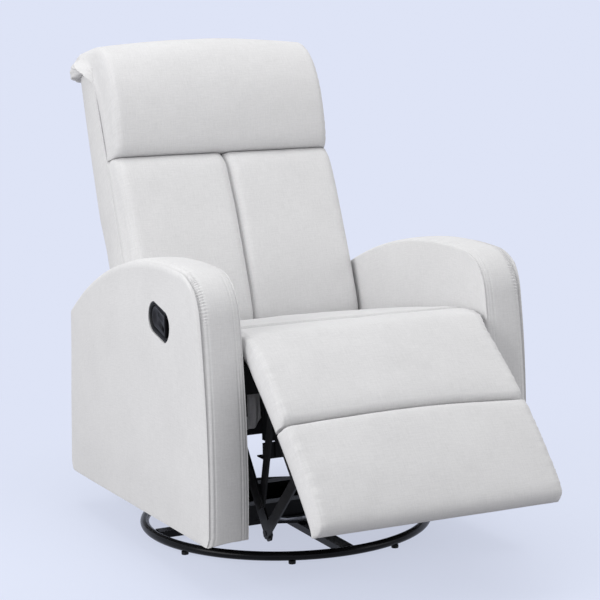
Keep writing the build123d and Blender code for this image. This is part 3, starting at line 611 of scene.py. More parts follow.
class Workshop:
    """Makes each finish once, and hangs finished pieces on their bodies."""

    def __init__(self) -> None:
        """Start with no finish made."""
        self._made: dict[Finish, bpy.types.Material] = {}

    def material(self, finish: Finish) -> bpy.types.Material:
        """The finish's material.

        Args:
            finish: The finish.

        Returns:
            Its material, made on the first call.
        """
        if finish not in self._made:
            self._made[finish] = finish.value.build()
        return self._made[finish]

    def dress(self, piece: bpy.types.Object, finish: Finish) -> None:
        """Give the piece one finish."""
        piece.data.materials.clear()
        piece.data.materials.append(self.material(finish))

    def hang(self, piece: bpy.types.Object, finish: Finish, body: str,
             replaces: Sequence[str] = (), fill: float | None = None) -> bpy.types.Object:
        """Dress a piece and let it ride on its body.

        Args:
            piece: The finished piece.
            finish: Its finish.
            body: CAD body that carries it.
            replaces: CAD nodes that it stands for.
            fill: How tight a padded piece is, or None for anything else; not used.

        Returns:
            The same piece.
        """
        self.dress(piece, finish)
        if replaces:
            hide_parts(*replaces)
        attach(piece, body)
        LOG.info("%s rides on %s", piece.name, body)
        return piece

    def dress_nodes(self) -> None:
        """Give every CAD node the finish of its slot."""
        for entry in frame["record"]["subparts"]:
            finish = SLOT_FINISH[entry["material_slot"]]
            if entry["node"] in COVERED_BOARDS:
                finish = Finish.DUST_COVER
            self.dress(frame["nodes"][entry["node"]], finish)


# ---------------------------------------------------------------- soft pads
@dataclass(frozen=True)
class Seam:
    """Seam sewn into a pad: where it runs, how deep it pulls and how wide it is."""

    place: float
    depth: float
    width: float

    SHARP_SHARE = 0.55              # share of the depth that is a sharp dip, the rest being a wide one
    SPREAD = 5                      # the wide dip is this many times as wide

    def pull(self, gap: float) -> float:
        """Depth of the pull at a distance from the seam's line."""
        sharp, wide = dent(gap, self.width), dent(gap, self.width * self.SPREAD)
        return self.depth * (self.SHARP_SHARE * sharp + (1 - self.SHARP_SHARE) * wide)


@dataclass(frozen=True)
class Pad:
    """Crowned pad between an inner and an outer side-view line, swept across the chair."""

    name: str
    outer: Trail
    inner: Trail
    half_width: float
    shoulder: float                 # how far in from its sides the pad starts to fall
    side_share: float               # share of the thickness that its sides keep
    crown: float = 0.004
    waist: float = 0.0              # how far its sides pull in between the corners
    across_seams: Sequence[Seam] = ()   # at a distance from the middle
    ripple: float = 0.0012
    seed: float = 0.0
    columns: int = 56
    rows: int = 44

    RIPPLES = ((9, 1.0, 0), (24, 0.5, 7))   # waves per metre, share of the ripple and shift of the noise
    CROWN_POWER = 0.6               # lower makes the crown flatter in the middle
    SIDE_BELLY = 0.004
    SIDE_BAND = 0.004               # width of the band that bulges with the sides
    LINE_GAP = 0.0015               # between stations beside a seam, and from the side to the first station
    SIDE_STATIONS = (LINE_GAP, 0.004, 0.008, 0.013, 0.020)      # in from each side
    THROUGH = (0.0, 0.12, 0.25, 0.4, 0.55, 0.7, 0.82, 0.92, 1.0)

    def shoulder_at(self, share: float) -> float:
        """Width of the rounded shoulder at a share of the line."""
        return self.shoulder

    def side_share_at(self, share: float) -> float:
        """Share of the thickness kept at the sides, at a share of the line."""
        return self.side_share

    def half_width_at(self, share: float) -> float:
        """Half width at a share of the line: drawn in between the corners."""
        return self.half_width - self.waist * math.sin(math.pi * share)

    def belly(self, share: float, through: float) -> float:
        """How far the sides bulge out."""
        return self.SIDE_BELLY * math.sin(math.pi * through)

    def relief(self, x: float, share: float, edge: float) -> float:
        """Rise of the cover over the plain form.

        Args:
            x: Distance from the middle of the chair.
            share: Share of the outer line.
            edge: Distance in from the side.

        Returns:
            Rise outwards.
        """
        bow = math.sin(math.pi * min(max(share, 0.0), 1.0)) ** self.CROWN_POWER
        rise = self.crown * (1 - (x / self.half_width) ** 2) * bow
        along = share * self.outer.length
        for waves, part, shift in self.RIPPLES:
            rise += self.ripple * part * noise.noise(Vector((x * waves, along * waves, self.seed + shift)))
        for seam in self.across_seams:
            rise -= seam.pull(abs(abs(x) - seam.place))
        return rise

    def place(self, across: float, share: float, through: float) -> Vector:
        """Point of the pad from its stations.

        Args:
            across: Share of the half width, from -1 to 1.
            share: Share of the side-view lines.
            through: Share of the way from the inner line to the outer one.

        Returns:
            Point in space.
        """
        half = self.half_width_at(share)
        x = across * half
        edge = half - abs(x)
        low = self.inner.at(share)
        rise = self.outer.at(share) - low
        keep = self.side_share_at(share)
        height = keep + (1 - keep) * swell_edge(edge, self.shoulder_at(share))
        point = low + rise * through * height
        point += rise.normalized() * self.relief(x, share, edge) * through * height
        if x:
            x += math.copysign(self.belly(share, through) * dent(edge, self.SIDE_BAND), x)
        return Vector((x, point.x, point.y))

    def build(self) -> bpy.types.Object:
        """Lay out the stations and make the piece.

        Returns:
            The pad.
        """
        half = self.half_width
        lines = [sign * seam.place / half for seam in self.across_seams for sign in (-1, 1)]
        across = stations(-1.0, 1.0, self.columns, lines, self.LINE_GAP / half)
        close = [1 - near / half for near in self.SIDE_STATIONS]
        across = sorted({round(value, 6) for value in (*across, *close, *(-value for value in close))})
        lattice = Lattice(across, stations(0.0, 1.0, self.rows), self.THROUGH)
        return lattice.build(self.name, self.place, (half, self.outer.length, PANEL_DEPTH))


class HeadPad(Pad):
    """Head cushion that swells forward, goes over the top and ends in a roll."""

    ROLL_START = 0.59               # shares of the outer line between which the front turns into the roll
    ROLL_END = 0.74
    ROLL_SHOULDER = 0.022
    ROLL_SIDE_SHARE = 0.78
    ROLL_WIDER = 0.004
    KNOB = 0.019                    # how far the roll's ends stand out
    KNOB_POWER = 0.6
    PLEAT = 0.0009
    PLEAT_WAVES = 210               # radians per metre
    ARCH = 0.003                    # how much higher the top's middle stands
    ARCH_START, ARCH_RUN, ARCH_END = 0.22, 0.20, 0.18   # shares: where it starts, its run-in and run-out
    END_DROP = 0.012                # how much lower its ends lie
    ROLL_LIFT = 0.007               # how much of that drop the roll gets back
    GATHER = 0.0026
    GATHER_WAVES = 400              # radians per metre
    GATHER_REACH = 0.011

    def _roll(self, share: float) -> float:
        """0 on the front of the cushion and 1 on the roll."""
        return ease((share - self.ROLL_START) / (self.ROLL_END - self.ROLL_START))

    def shoulder_at(self, share: float) -> float:
        """Width of the shoulder, which changes towards the roll."""
        return self.shoulder + (self.ROLL_SHOULDER - self.shoulder) * self._roll(share)

    def side_share_at(self, share: float) -> float:
        """The roll keeps most of its thickness at its ends."""
        return self.side_share + (self.ROLL_SIDE_SHARE - self.side_share) * self._roll(share)

    def half_width_at(self, share: float) -> float:
        """A little wider on the roll."""
        return super().half_width_at(share) + self.ROLL_WIDER * self._roll(share)

    def belly(self, share: float, through: float) -> float:
        """How far the sides bulge out; the roll's ends are gathered and stand out.

        Args:
            share: Share of the outer line.
            through: Share of the way from the inner line to the outer one.

        Returns:
            Distance outwards.
        """
        pleat = self.PLEAT * math.sin(share * self.outer.length * self.PLEAT_WAVES) * ease(through / 0.4)
        knob = self.KNOB * math.sin(math.pi * through) ** self.KNOB_POWER
        return super().belly(share, through) + self._roll(share) * (knob + pleat)

    def place(self, across: float, share: float, through: float) -> Vector:
        """Point of the pad, arched over the top.

        Args:
            across: Share of the half width, from -1 to 1.
            share: Share of the side-view lines.
            through: Share of the way from the inner line to the outer one.

        Returns:
            Point in space.
        """
        drop = self.END_DROP - self.ROLL_LIFT * self._roll(share)
        top = ease((share - self.ARCH_START) / self.ARCH_RUN) * ease((1.0 - share) / self.ARCH_END)
        arch = (self.ARCH - drop * across * across) * top * through
        up = Vector((0.0, math.sin(BACK_LEAN), math.cos(BACK_LEAN)))
        return super().place(across, share, through) + up * arch

    def relief(self, x: float, share: float, edge: float) -> float:
        """Gathers that run in from the side seams, on top of the plain relief.

        Args:
            x: Distance from the middle of the chair.
            share: Share of the outer line.
            edge: Distance in from the side.

        Returns:
            Rise outwards.
        """
        wave = math.sin(share * self.outer.length * self.GATHER_WAVES + 2.0 * math.sin(share * 31))
        return super().relief(x, share, edge) + self.GATHER * wave * dent(edge, self.GATHER_REACH)


@dataclass(frozen=True)
class FootrestPad(Pad):
    """Pad of a footrest panel: its end at the crease is bowed, and its sides carry a flat seam."""

    slope: float = FOOT_SLOPE
    nose: bool = False              # whether it starts with the nose, and so ends at the crease

    CREASE_BOW = 0.0060
    CREASE_BOW_POWER = 1.4
    CREASE_DROP = 0.0050            # how far the crease runs down the panel at its right end
    CREASE_REACH = 0.55             # share of the pad that follows the crease
    NOSE_START = 0.24               # shares of the line between which the nose turns into the panel
    NOSE_RUN = 0.22
    NOSE_WIDER = 0.0065
    NOSE_SIDE_SHARE = 0.90
    PULL = 0.0010
    PULL_WAVES = 330                # radians per metre
    PULL_REACH = 0.018
    SIDE_SEAM = Seam(0.0080, 0.0012, 0.0016)

    def _below_nose(self, share: float) -> float:
        """0 on the nose, which is full to its ends, and 1 on the panels below it."""
        return ease((share - self.NOSE_START) / self.NOSE_RUN) if self.nose else 1.0

    def half_width_at(self, share: float) -> float:
        """As wide as the seat on the nose, and a little narrower below it."""
        return super().half_width_at(share) + self.NOSE_WIDER * (1 - self._below_nose(share))

    def side_share_at(self, share: float) -> float:
        """The nose keeps its thickness at its ends, and the panels thin out."""
        return self.NOSE_SIDE_SHARE + (self.side_share - self.NOSE_SIDE_SHARE) * self._below_nose(share)

    def place(self, across: float, share: float, through: float) -> Vector:
        """Point of the pad, drawn along the panel to the bowed crease.

        Args:
            across: Share of the half width, from -1 to 1.
            share: Share of the side-view lines.
            through: Share of the way from the inner line to the outer one.

        Returns:
            Point in space.
        """
        from_crease = 1 - share if self.nose else share
        near = ease((self.CREASE_REACH - from_crease) / self.CREASE_REACH)
        bow = self.CREASE_BOW * max(1 - across * across, 0.0) ** self.CREASE_BOW_POWER * near
        bow -= self.CREASE_DROP * max(across, 0.0) ** 2 * near
        up = Vector((0.0, math.cos(self.slope), math.sin(self.slope)))
        return super().place(across, share, through) + up * bow

    def relief(self, x: float, share: float, edge: float) -> float:
        """Fine pulls and a flat seam near the sides, on top of the plain relief.

        Args:
            x: Distance from the middle of the chair.
            share: Share of the outer line.
            edge: Distance in from the side.

        Returns:
            Rise outwards.
        """
        wave = math.sin(share * self.outer.length * self.PULL_WAVES + 3 * math.sin(share * 17))
        seam = self.SIDE_SEAM.depth * dent(edge - self.SIDE_SEAM.place, self.SIDE_SEAM.width)
        return super().relief(x, share, edge) + self.PULL * wave * dent(edge, self.PULL_REACH) - seam


class ShellPad(Pad):
    """Outer cover of the back, fuller towards its rear corners above the arms."""

    CORNER = 0.0045

    def place(self, across: float, share: float, through: float) -> Vector:
        """Point of the cover.

        Args:
            across: Share of the half width, from -1 to 1.
            share: Share of the side-view lines.
            through: Share of the way from the inner line to the outer one.

        Returns:
            Point in space.
        """
        spot = super().place(across, share, through)
        above_arms = ease((share - 0.42) / 0.15)
        spot.x += math.copysign(self.CORNER, spot.x) * through * above_arms * abs(across) ** 8
        return spot


@dataclass(frozen=True)
class Upholstery:
    """Seat, footrest and back pads."""

    seat_half_width: float = 0.263
    chaise_half_width: float = 0.257
    seat_rear: float = 0.142        # behind the swivel axis
    seat_front_low: float = 0.4312  # underside of the seat at the chaise seam
    panel_bulge: float = 0.006
    head_top: float = 0.634         # underside of the roll, along the back
    welt_radius: float = 0.0022
    welt_clear: float = 0.0004      # from the cushions' sides to the middle of the piping
    welt_gather: float = 0.0006
    welt_waves: float = 950.0       # radians per metre

    def _seat_line(self, y: float, rise: float) -> Vector:
        """Side-view point over the seat's straight slope."""
        return at(y, 0.499 + SEAT_SLOPE * (y - CHAISE_SEAM) + rise)

    def seat(self) -> Pad:
        """Shape the seat cushion behind the chaise seam.

        Returns:
            The cushion.
        """
        rises = ((CHAISE_SEAM, -0.0085), (-0.3114, -0.0003), (-0.306, 0.0010), (-0.280, 0.0026),
                 (-0.200, 0.004), (-0.085, 0.006), (0.030, 0.004), (self.seat_rear, -0.004))
        outer = Trail(*(self._seat_line(y, rise) for y, rise in rises))
        inner = Trail(at(CHAISE_SEAM, self.seat_front_low), at(0.0, 0.3878), at(self.seat_rear, 0.3680))
        return Pad("seat_cushion_cover", outer, inner, self.seat_half_width, shoulder=0.016, side_share=0.8,
                   crown=0.007, seed=1.0)

    def chaise(self) -> Pad:
        """Shape the pad from the seat's front seam over the fold and down to the crease.

        Returns:
            The pad.
        """
        bulge = PANEL_DEPTH + self.panel_bulge
        nose = [FOLD + (PANEL_DEPTH + 0.001) * Vector((math.cos(turn), math.sin(turn)))
                for turn in (math.radians(98), math.radians(116))]
        outer = Trail(self._seat_line(CHAISE_SEAM, -0.0115), at(-0.3138, 0.4935), at(-0.326, 0.4982),
                      at(-0.352, 0.5003), *nose, on_calf(0.012, PANEL_DEPTH + 0.003),
                      on_calf(0.055, bulge), on_calf(0.110, bulge), on_calf(0.160, bulge - 0.002),
                      on_calf(0.1860, PANEL_DEPTH - 0.001), on_calf(0.1930, PANEL_DEPTH - 0.0065),
                      on_calf(0.1942, PANEL_DEPTH - 0.016))
        inner = Trail(at(CHAISE_SEAM, self.seat_front_low), at(-0.346, 0.4440), FOLD + Vector((0.0, 0.012)),
                      on_calf(0.004, 0.0115), on_calf(0.035, 0.005), on_calf(0.055, BOARD_FACE),
                      on_calf(0.120, BOARD_FACE), on_calf(0.1875, BOARD_FACE))
        return FootrestPad("chaise_pad_cover", outer, inner, self.chaise_half_width, shoulder=0.011,
                           side_share=0.78, waist=0.003, seed=2.0, rows=60, slope=CALF_SLOPE, nose=True)

    def foot(self) -> Pad:
        """Shape the pad from the crease down to the toe.

        Returns:
            The pad.
        """
        face, start, end = PANEL_DEPTH, BEND_PULL, FOOT_LENGTH + BEND_PULL
        outer = Trail(on_foot(start + 0.0006, face - 0.016), on_foot(start + 0.0012, face - 0.006),
                      on_foot(start + 0.0058, face + 0.0002), on_foot(0.035, face + 0.004),
                      on_foot(0.11, face + self.panel_bulge), on_foot(0.18, face + 0.002),
                      on_foot(end - 0.010, face - 0.006), on_foot(end - 0.001, face * 0.55),
                      on_foot(end - 0.004, 0.008))
        inner = Trail(*(on_foot(along, BOARD_FACE) for along in (0.0040, 0.07, 0.15, end - 0.008)))
        return FootrestPad("foot_pad_cover", outer, inner, self.chaise_half_width, shoulder=0.011,
                           side_share=0.78, waist=0.002, seed=3.0, rows=50)

    def back(self) -> Pad:
        """Shape the back cushion, in two channels.

        Returns:
            The cushion.
        """
        face = ((0.020, -0.006), (0.002, 0.020), (-0.004, 0.08), (-0.006, 0.20), (-0.004, 0.31),
                (0.003, 0.376), (0.022, 0.405))
        outer = Trail(*(on_back(depth, up) for depth, up in face))
        inner = Trail(*(on_back(CUSHION_REAR, up) for up in (-0.008, 0.20, 0.405)))
        return Pad("back_cushion_cover", outer, inner, BACK_HALF_WIDTH, shoulder=0.026, side_share=0.42,
                   across_seams=(Seam(0.0, 0.024, 0.0017),), seed=4.0, columns=62)

    def head(self) -> Pad:
        """Shape the head cushion and its roll.

        Returns:
            The cushion.
        """
        front = ((0.024, HEAD_SEAM), (0.004, 0.417), (-0.010, 0.448), (-0.023, 0.508), (-0.025, 0.571),
                 (-0.012, 0.630), (0.018, 0.669), (0.060, 0.689), (0.105, 0.6975), (0.152, 0.700))
        roll = ((0.188, 0.689), (0.197, 0.663), (0.177, 0.6425), (0.128, 0.6365))
        outer = Trail(*(on_back(depth, up) for depth, up in (*front, *roll)))
        rear = ((CUSHION_REAR, HEAD_SEAM), (CUSHION_REAR, 0.510), (CUSHION_REAR + 0.002, 0.605),
                (0.075, self.head_top), (0.100, 0.6355), (0.124, 0.6350))
        inner = Trail(*(on_back(depth, up) for depth, up in rear))
        return HeadPad("head_cushion_cover", outer, inner, BACK_HALF_WIDTH - 0.002, shoulder=0.022,
                       side_share=0.42, seed=5.0, columns=62, rows=90)

    def shell(self) -> Pad:
        """Shape the outer cover of the back: its sides and its rear face.

        Returns:
            The cover.
        """
        top = self.head_top - 0.0005
        rear = ((0.1630, -0.095), (0.1635, 0.04), (0.1650, 0.17), (0.1595, 0.33), (0.1475, 0.50),
                (0.1340, top))
        outer = Trail(*(on_back(depth, up) for depth, up in rear))
        inner = Trail(*(on_back(WELT_DEPTH, up) for up in (-0.010, 0.10, 0.21, 0.36, top)))
        return ShellPad("back_shell_cover", outer, inner, BACK_HALF_WIDTH, shoulder=0.010, side_share=0.94,
                        crown=0.002, ripple=0.0008, seed=6.0, rows=48)

    def welt(self, side: "Side") -> bpy.types.Object:
        """Piping down one side of the back, between the cushions and the shell.

        Args:
            side: Side of the chair.

        Returns:
            The piping, gathered along the head cushion.
        """
        start, run, steps, corners = 0.02, 0.585, 300, 10
        rings = []
        for step in range(steps + 1):
            up = start + run * step / steps
            spot = on_back(WELT_DEPTH, up)
            gathered = ease((up - HEAD_SEAM + 0.01) / 0.04)
            radius = self.welt_radius + self.welt_gather * math.sin(up * self.welt_waves) * gathered
            ring = []
            for corner in range(corners):
                turn = 2 * math.pi * corner / corners
                out, back = radius * math.cos(turn), radius * math.sin(turn)
                rearward = Vector((math.cos(BACK_LEAN), -math.sin(BACK_LEAN))) * back
                outward = BACK_HALF_WIDTH + self.welt_clear + out
                ring.append(Vector((side.value * outward, *(spot + rearward))))
            rings.append(ring)
        return loft(f"{side.name.lower()}_back_welt", rings, True)

    def make(self, shop: Workshop) -> None:
        """Build and hang every pad but the chaise pad, which is dressed but rides on no body.

        Args:
            shop: Where the pads get their finish and their body.
        """
        pads = ((self.seat(), "seat_cushion", "carriage", 0.8), (self.foot(), "foot_pad", "footrest", 0.8),
                (self.back(), "back_cushion", "back", 0.85), (self.head(), "head_cushion", "back", 0.85),
                (self.shell(), "back_outer_shell", "back", 0.85))
        for pad, node, body, fill in pads:
            shop.hang(pad.build(), Finish.UPHOLSTERY, body, [node], fill)
        for side in Side:
            shop.hang(self.welt(side), Finish.HIDDEN_CLOTH, "back")
        chaise = self.chaise().build()
        shop.dress(chaise, Finish.UPHOLSTERY)
        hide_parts("seat_front_pad", "calf_pad")
        start, end = FOLD + Vector((0.012, PANEL_DEPTH)), on_calf(0.012, PANEL_DEPTH)
        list(start)
        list(end)
        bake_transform(chaise)
        LOG.info("%s bends between carriage and footrest", chaise.name)


# ---------------------------------------------------------------- arms
class Side(Enum):
    """Side of the chair, by the sign of X."""

    LEFT = -1
    RIGHT = 1


def circle_through(a: Vector, b: Vector, c: Vector) -> tuple[Vector, float]:
    """Centre and radius of the circle through three points.

    Args:
        a: First point.
        b: Second point.
        c: Third point.

    Returns:
        Centre and radius.
    """
    d = 2 * (a.x * (b.y - c.y) + b.x * (c.y - a.y) + c.x * (a.y - b.y))
    aa, bb, cc = a.length_squared, b.length_squared, c.length_squared
    centre = Vector(((aa * (b.y - c.y) + bb * (c.y - a.y) + cc * (a.y - b.y)) / d,
                     (aa * (c.x - b.x) + bb * (a.x - c.x) + cc * (b.x - a.x)) / d))
    return centre, (a - centre).length


def arc(centre: Vector, start: Vector, end: Vector, steps: int) -> list[Vector]:
    """Points of the shorter arc from start to end."""
    first, turn = start - centre, (start - centre).angle_signed(end - centre)
    return [centre + Matrix.Rotation(-turn * step / steps, 2) @ first for step in range(steps + 1)]


def corner_fall(distance: float, radius: float) -> float:
    """How far a round corner falls back at a distance in from its edge."""
    return radius - math.sqrt(max(radius ** 2 - (radius - distance) ** 2, 0.0)) if distance < radius else 0.0


class Outline:
    """Side view of an arm: two long arcs joined by a round brow, and straight lines."""

    FRONT_LOW = at(-0.418, 0.098)
    FRONT_BOW = at(-0.422, 0.330)
    BROW = at(-0.387, 0.608)
    TOP_MIDDLE = at(0.034, 0.594)
    REAR_HIGH = at(0.364, 0.452)
    REAR_LOW = at(0.402, 0.078)
    MIDDLE = at(-0.03, 0.33)
    BROW_RADIUS = 0.098
    HEEL_RADIUS = 0.032
    FRONT_STEPS, BROW_STEPS, TOP_STEPS, HEEL_STEPS = 24, 12, 36, 10

    def __init__(self) -> None:
        """Work out the arcs and the four sides of the panel."""
        radius = self.BROW_RADIUS
        front_centre, front_radius = circle_through(self.FRONT_LOW, self.FRONT_BOW, self.BROW)
        top_centre, top_radius = circle_through(self.BROW, self.TOP_MIDDLE, self.REAR_HIGH)
        centre = self._meet(front_centre, front_radius - radius, top_centre, top_radius - radius)
        low = front_centre + (centre - front_centre).normalized() * front_radius
        high = top_centre + (centre - top_centre).normalized() * top_radius
        middle = centre + ((low - centre).normalized() + (high - centre).normalized()).normalized() * radius
        front = arc(front_centre, self.FRONT_LOW, low, self.FRONT_STEPS)
        top = arc(top_centre, high, self.REAR_HIGH, self.TOP_STEPS)
        heel = self._heel()
        half = len(heel) // 2
        self.front = self._reader(front + arc(centre, low, middle, self.BROW_STEPS)[1:])
        self.top = self._reader(arc(centre, middle, high, self.BROW_STEPS)[:-1] + top)
        self.bottom = self._reader([self.FRONT_LOW, *heel[:half + 1]])
        self.rear = self._reader([*heel[half:], self.REAR_HIGH])

    def _heel(self) -> list[Vector]:
        """Round off the lower corner at the rear.

        Returns:
            Points from the bottom to the rear edge.
        """
        along = (self.FRONT_LOW - self.REAR_LOW).normalized()
        up = (self.REAR_HIGH - self.REAR_LOW).normalized()
        half = along.angle(up) / 2
        centre = self.REAR_LOW + (along + up).normalized() * self.HEEL_RADIUS / math.sin(half)
        reach = self.HEEL_RADIUS / math.tan(half)
        return arc(centre, self.REAR_LOW + along * reach, self.REAR_LOW + up * reach, self.HEEL_STEPS)

    @staticmethod
    def _meet(a: Vector, a_radius: float, b: Vector, b_radius: float) -> Vector:
        """Meeting point, near the brow, of two circles.

        Args:
            a: Centre of the first circle.
            a_radius: Its radius.
            b: Centre of the second circle.
            b_radius: Its radius.

        Returns:
            The meeting point nearer the brow.
        """
        gap = (b - a).length
        along = (a_radius ** 2 - b_radius ** 2 + gap * gap) / (2 * gap)
        rise = math.sqrt(max(a_radius ** 2 - along * along, 0.0))
        forward = (b - a) / gap
        side = Vector((-forward.y, forward.x))
        options = [a + forward * along + side * rise * sign for sign in (-1, 1)]
        return min(options, key=lambda point: (point - Outline.BROW).length)

    @staticmethod
    def _reader(points: list[Vector]) -> Callable[[float], Vector]:
        """Function that reads a line by its share of length.

        Args:
            points: Points of the line.

        Returns:
            Function from a share to a point.
        """
        reach = [0.0]
        for start, end in zip(points, points[1:]):
            reach.append(reach[-1] + (end - start).length)

        def read(share: float) -> Vector:
            """Point at a share of the length.

            Args:
                share: Share of the length, from 0 to 1.

            Returns:
                Side-view point.
            """
            goal = min(max(share, 0.0), 1.0) * reach[-1]
            index = max(i for i, value in enumerate(reach[:-1]) if value <= goal + 1e-12)
            run = reach[index + 1] - reach[index]
            return points[index].lerp(points[index + 1], (goal - reach[index]) / run)

        return read

    def patch(self, s: float, t: float) -> Vector:
        """Point inside the panel.

        Args:
            s: Share of the way to the rear.
            t: Share of the way up.

        Returns:
            Side-view point.
        """
        rows = self.bottom(s) * (1 - t) + self.top(s) * t
        posts = self.front(t) * (1 - s) + self.rear(t) * s
        low = self.FRONT_LOW * (1 - s) + self.bottom(1.0) * s
        high = self.top(0.0) * (1 - s) + self.REAR_HIGH * s
        return rows + posts - low * (1 - t) - high * t

    def inward(self, s: float, t: float) -> Vector:
        """Unit vector into the panel from a point of its rim.

        Args:
            s: Share of the way to the rear.
            t: Share of the way up.

        Returns:
            Side-view direction.
        """
        step = 0.01
        if t in (0.0, 1.0):
            line = self.bottom if t == 0.0 else self.top
            tangent = line(min(s + step, 1.0)) - line(max(s - step, 0.0))
            if t == 1.0 and s < step:
                tangent = self.top(s + step) - self.front(1 - step + s)
        else:
            line = self.front if s == 0.0 else self.rear
            tangent = line(min(t + step, 1.0)) - line(max(t - step, 0.0))
        across = Vector((-tangent.y, tangent.x)).normalized()
        return across if across.dot(self.MIDDLE - self.patch(s, t)) > 0 else -across


@dataclass(frozen=True)
class ArmCover:
    """Padded arm: outer panel, sewn band and inner panel in one closed cover."""

    side: Side
    outline: Outline
    inner_x: float = 0.268
    outer_x: float = 0.358
    outer_round: tuple[float, float] = (0.012, 0.024)   # of the outer edge, low down and over the top
    outer_seam: tuple[float, float] = (0.0060, 0.0120)  # of the outer seam, in from the outer face
    seam_reach: float = 0.045       # the seam's wandering ends this far in
    inner_round: float = 0.010
    inner_seam: float = 0.0095
    foot_round: float = 0.006
    stitch_gaps: tuple[float, float] = (0.0080, 0.0065)     # from each seam to its topstitching
    lean: float = 0.0045            # the outer panel falls away this much towards its front edge
    puff: float = 0.005
    inner_puff: float = 0.0015
    lump: float = 0.0009
    band_crown: float = 0.0026
    pucker: float = 0.0013
    hem_rise: float = 0.006         # the hem is this much higher at its inner corner
    hem_sag: float = 0.003

    LENGTH, HEIGHT = 0.85, 0.5      # metres that one unit of s and of t stand for
    RIM_LENGTH = 0.87
    SLIP = 0.29                     # share of a corner's radius that its first station cuts off
    SEAM_LINE, STITCH_LINE, VALLEY = (0.0008, 0.0011), (0.0008, 0.0010), (0.0005, 0.008)    # depth and width
    SPREAD_START, SPREAD_RUN = 0.25, 0.65   # of t, over which the front edge opens up to its size on top
    PUCKER_PITCH = 0.0062
    PUCKER_LINE = (0.004, 0.0065)   # place from the seam and width
    BROW_BELOW = (0.80, 0.10)       # of t on the front: where the puckers start, and their run-in
    BROW_BEHIND = (0.06, 0.06)      # of s on the top: where they begin to end, and their run-out
    LUMP_WAVES = (8, 30)            # per metre, along the panel and through it
    PUFF_REACH = (0.16, 0.12)       # metres in from the edge and up from the hem to the full puff
    LEAN_REACH = 0.036              # metres behind the front edge
    LEAN_DEPTH, LEAN_FOOT = 0.55, 0.04      # shares of the band and of the height
    LEAN_KEPT = 0.3                 # share of the lean that is left at the brow
    HEM_POWER = 10                  # higher keeps the hem's shape nearer to the hem

    def _spread(self, s: float, t: float) -> float:
        """0 low down at the front, where the outer edge is tight, and 1 over the top."""
        over = t == 1.0 or s > 0.5
        return 1.0 if over else ease((t - self.SPREAD_START) / self.SPREAD_RUN)

    def _blend(self, pair: tuple[float, float], s: float, t: float) -> float:
        """Size between its low value and its value over the top."""
        return pair[0] + (pair[1] - pair[0]) * self._spread(s, t)

    def _round(self, s: float, t: float, inner: bool) -> float:
        """Radius of an edge of the rim; the hem is tighter than the others."""
        upper = self.inner_round if inner else self._blend(self.outer_round, s, t)
        return upper if t else self.foot_round

    def _wander(self, gap: float, s: float, t: float) -> float:
        """Distance from the outer face, once the seam has moved to its place.

        Args:
            gap: Distance with the seam where it is over the top.
            s: Share of the way to the rear.
            t: Share of the way up.

        Returns:
            Distance from the outer face.
        """
        nominal, seam = self.outer_seam[1], self._blend(self.outer_seam, s, t)
        start, slip = self.SLIP * self.outer_round[1], self.SLIP * self._blend(self.outer_round, s, t)
        if start < gap < nominal:
            return slip + (seam - slip) * (gap - start) / (nominal - start)
        if nominal <= gap < self.seam_reach:
            return seam + (self.seam_reach - seam) * (gap - nominal) / (self.seam_reach - nominal)
        return gap

    def _stitches(self, *gaps: float) -> float:
        """Pull of the seams and of their topstitching.

        Args:
            *gaps: Distance to each seam, the outer one first.

        Returns:
            Inset.
        """
        pull = 0.0
        for gap, row in zip(gaps, self.stitch_gaps):
            lines = ((gap, self.SEAM_LINE), (gap - row, self.STITCH_LINE), (gap, self.VALLEY))
            pull += sum(depth * dent(distance, width) for distance, (depth, width) in lines)
        return pull

    def _pucker(self, s: float, t: float, gap: float) -> float:
        """Fine puckers beside the outer seam where it turns over the brow.

        Args:
            s: Share of the way to the rear.
            t: Share of the way up.
            gap: Distance from the seam.

        Returns:
            Inset.
        """
        brow, walk = 0.0, (self.HEIGHT + s * self.RIM_LENGTH) / self.PUCKER_PITCH
        if s == 0.0:
            begin, run = self.BROW_BELOW
            brow, walk = ease((t - begin) / run), t * self.HEIGHT / self.PUCKER_PITCH
        elif t == 1.0:
            begin, run = self.BROW_BEHIND
            brow = 1 - ease((s - begin) / run)
        wave = math.sin(2 * math.pi * walk + math.sin(walk * 0.9))
        return self.pucker * brow * wave * dent(gap - self.PUCKER_LINE[0], self.PUCKER_LINE[1])

    def _rim(self, s: float, t: float, x: float) -> Vector:
        """Point of the band.

        Args:
            s: Share of the way to the rear.
            t: Share of the way up.
            x: Distance from the middle of the chair.

        Returns:
            Point in space, on the right side.
        """
        inner_gap, seam_gap = x - self.inner_x, self.outer_x - x - self.outer_seam[1]
        outer_gap = self._wander(self.outer_x - x, s, t)
        x = self.outer_x - outer_gap
        inset = corner_fall(min(outer_gap, inner_gap), self._round(s, t, inner_gap < outer_gap))
        inset += self._stitches(seam_gap, inner_gap - self.inner_seam) + self._pucker(s, t, seam_gap)
        if t:
            inset -= self.band_crown * math.sin(math.pi * (x - self.inner_x) / (self.outer_x - self.inner_x))
        spot = self.outline.patch(s, t) + self.outline.inward(s, t) * inset
        return Vector((x, spot.x, spot.y))

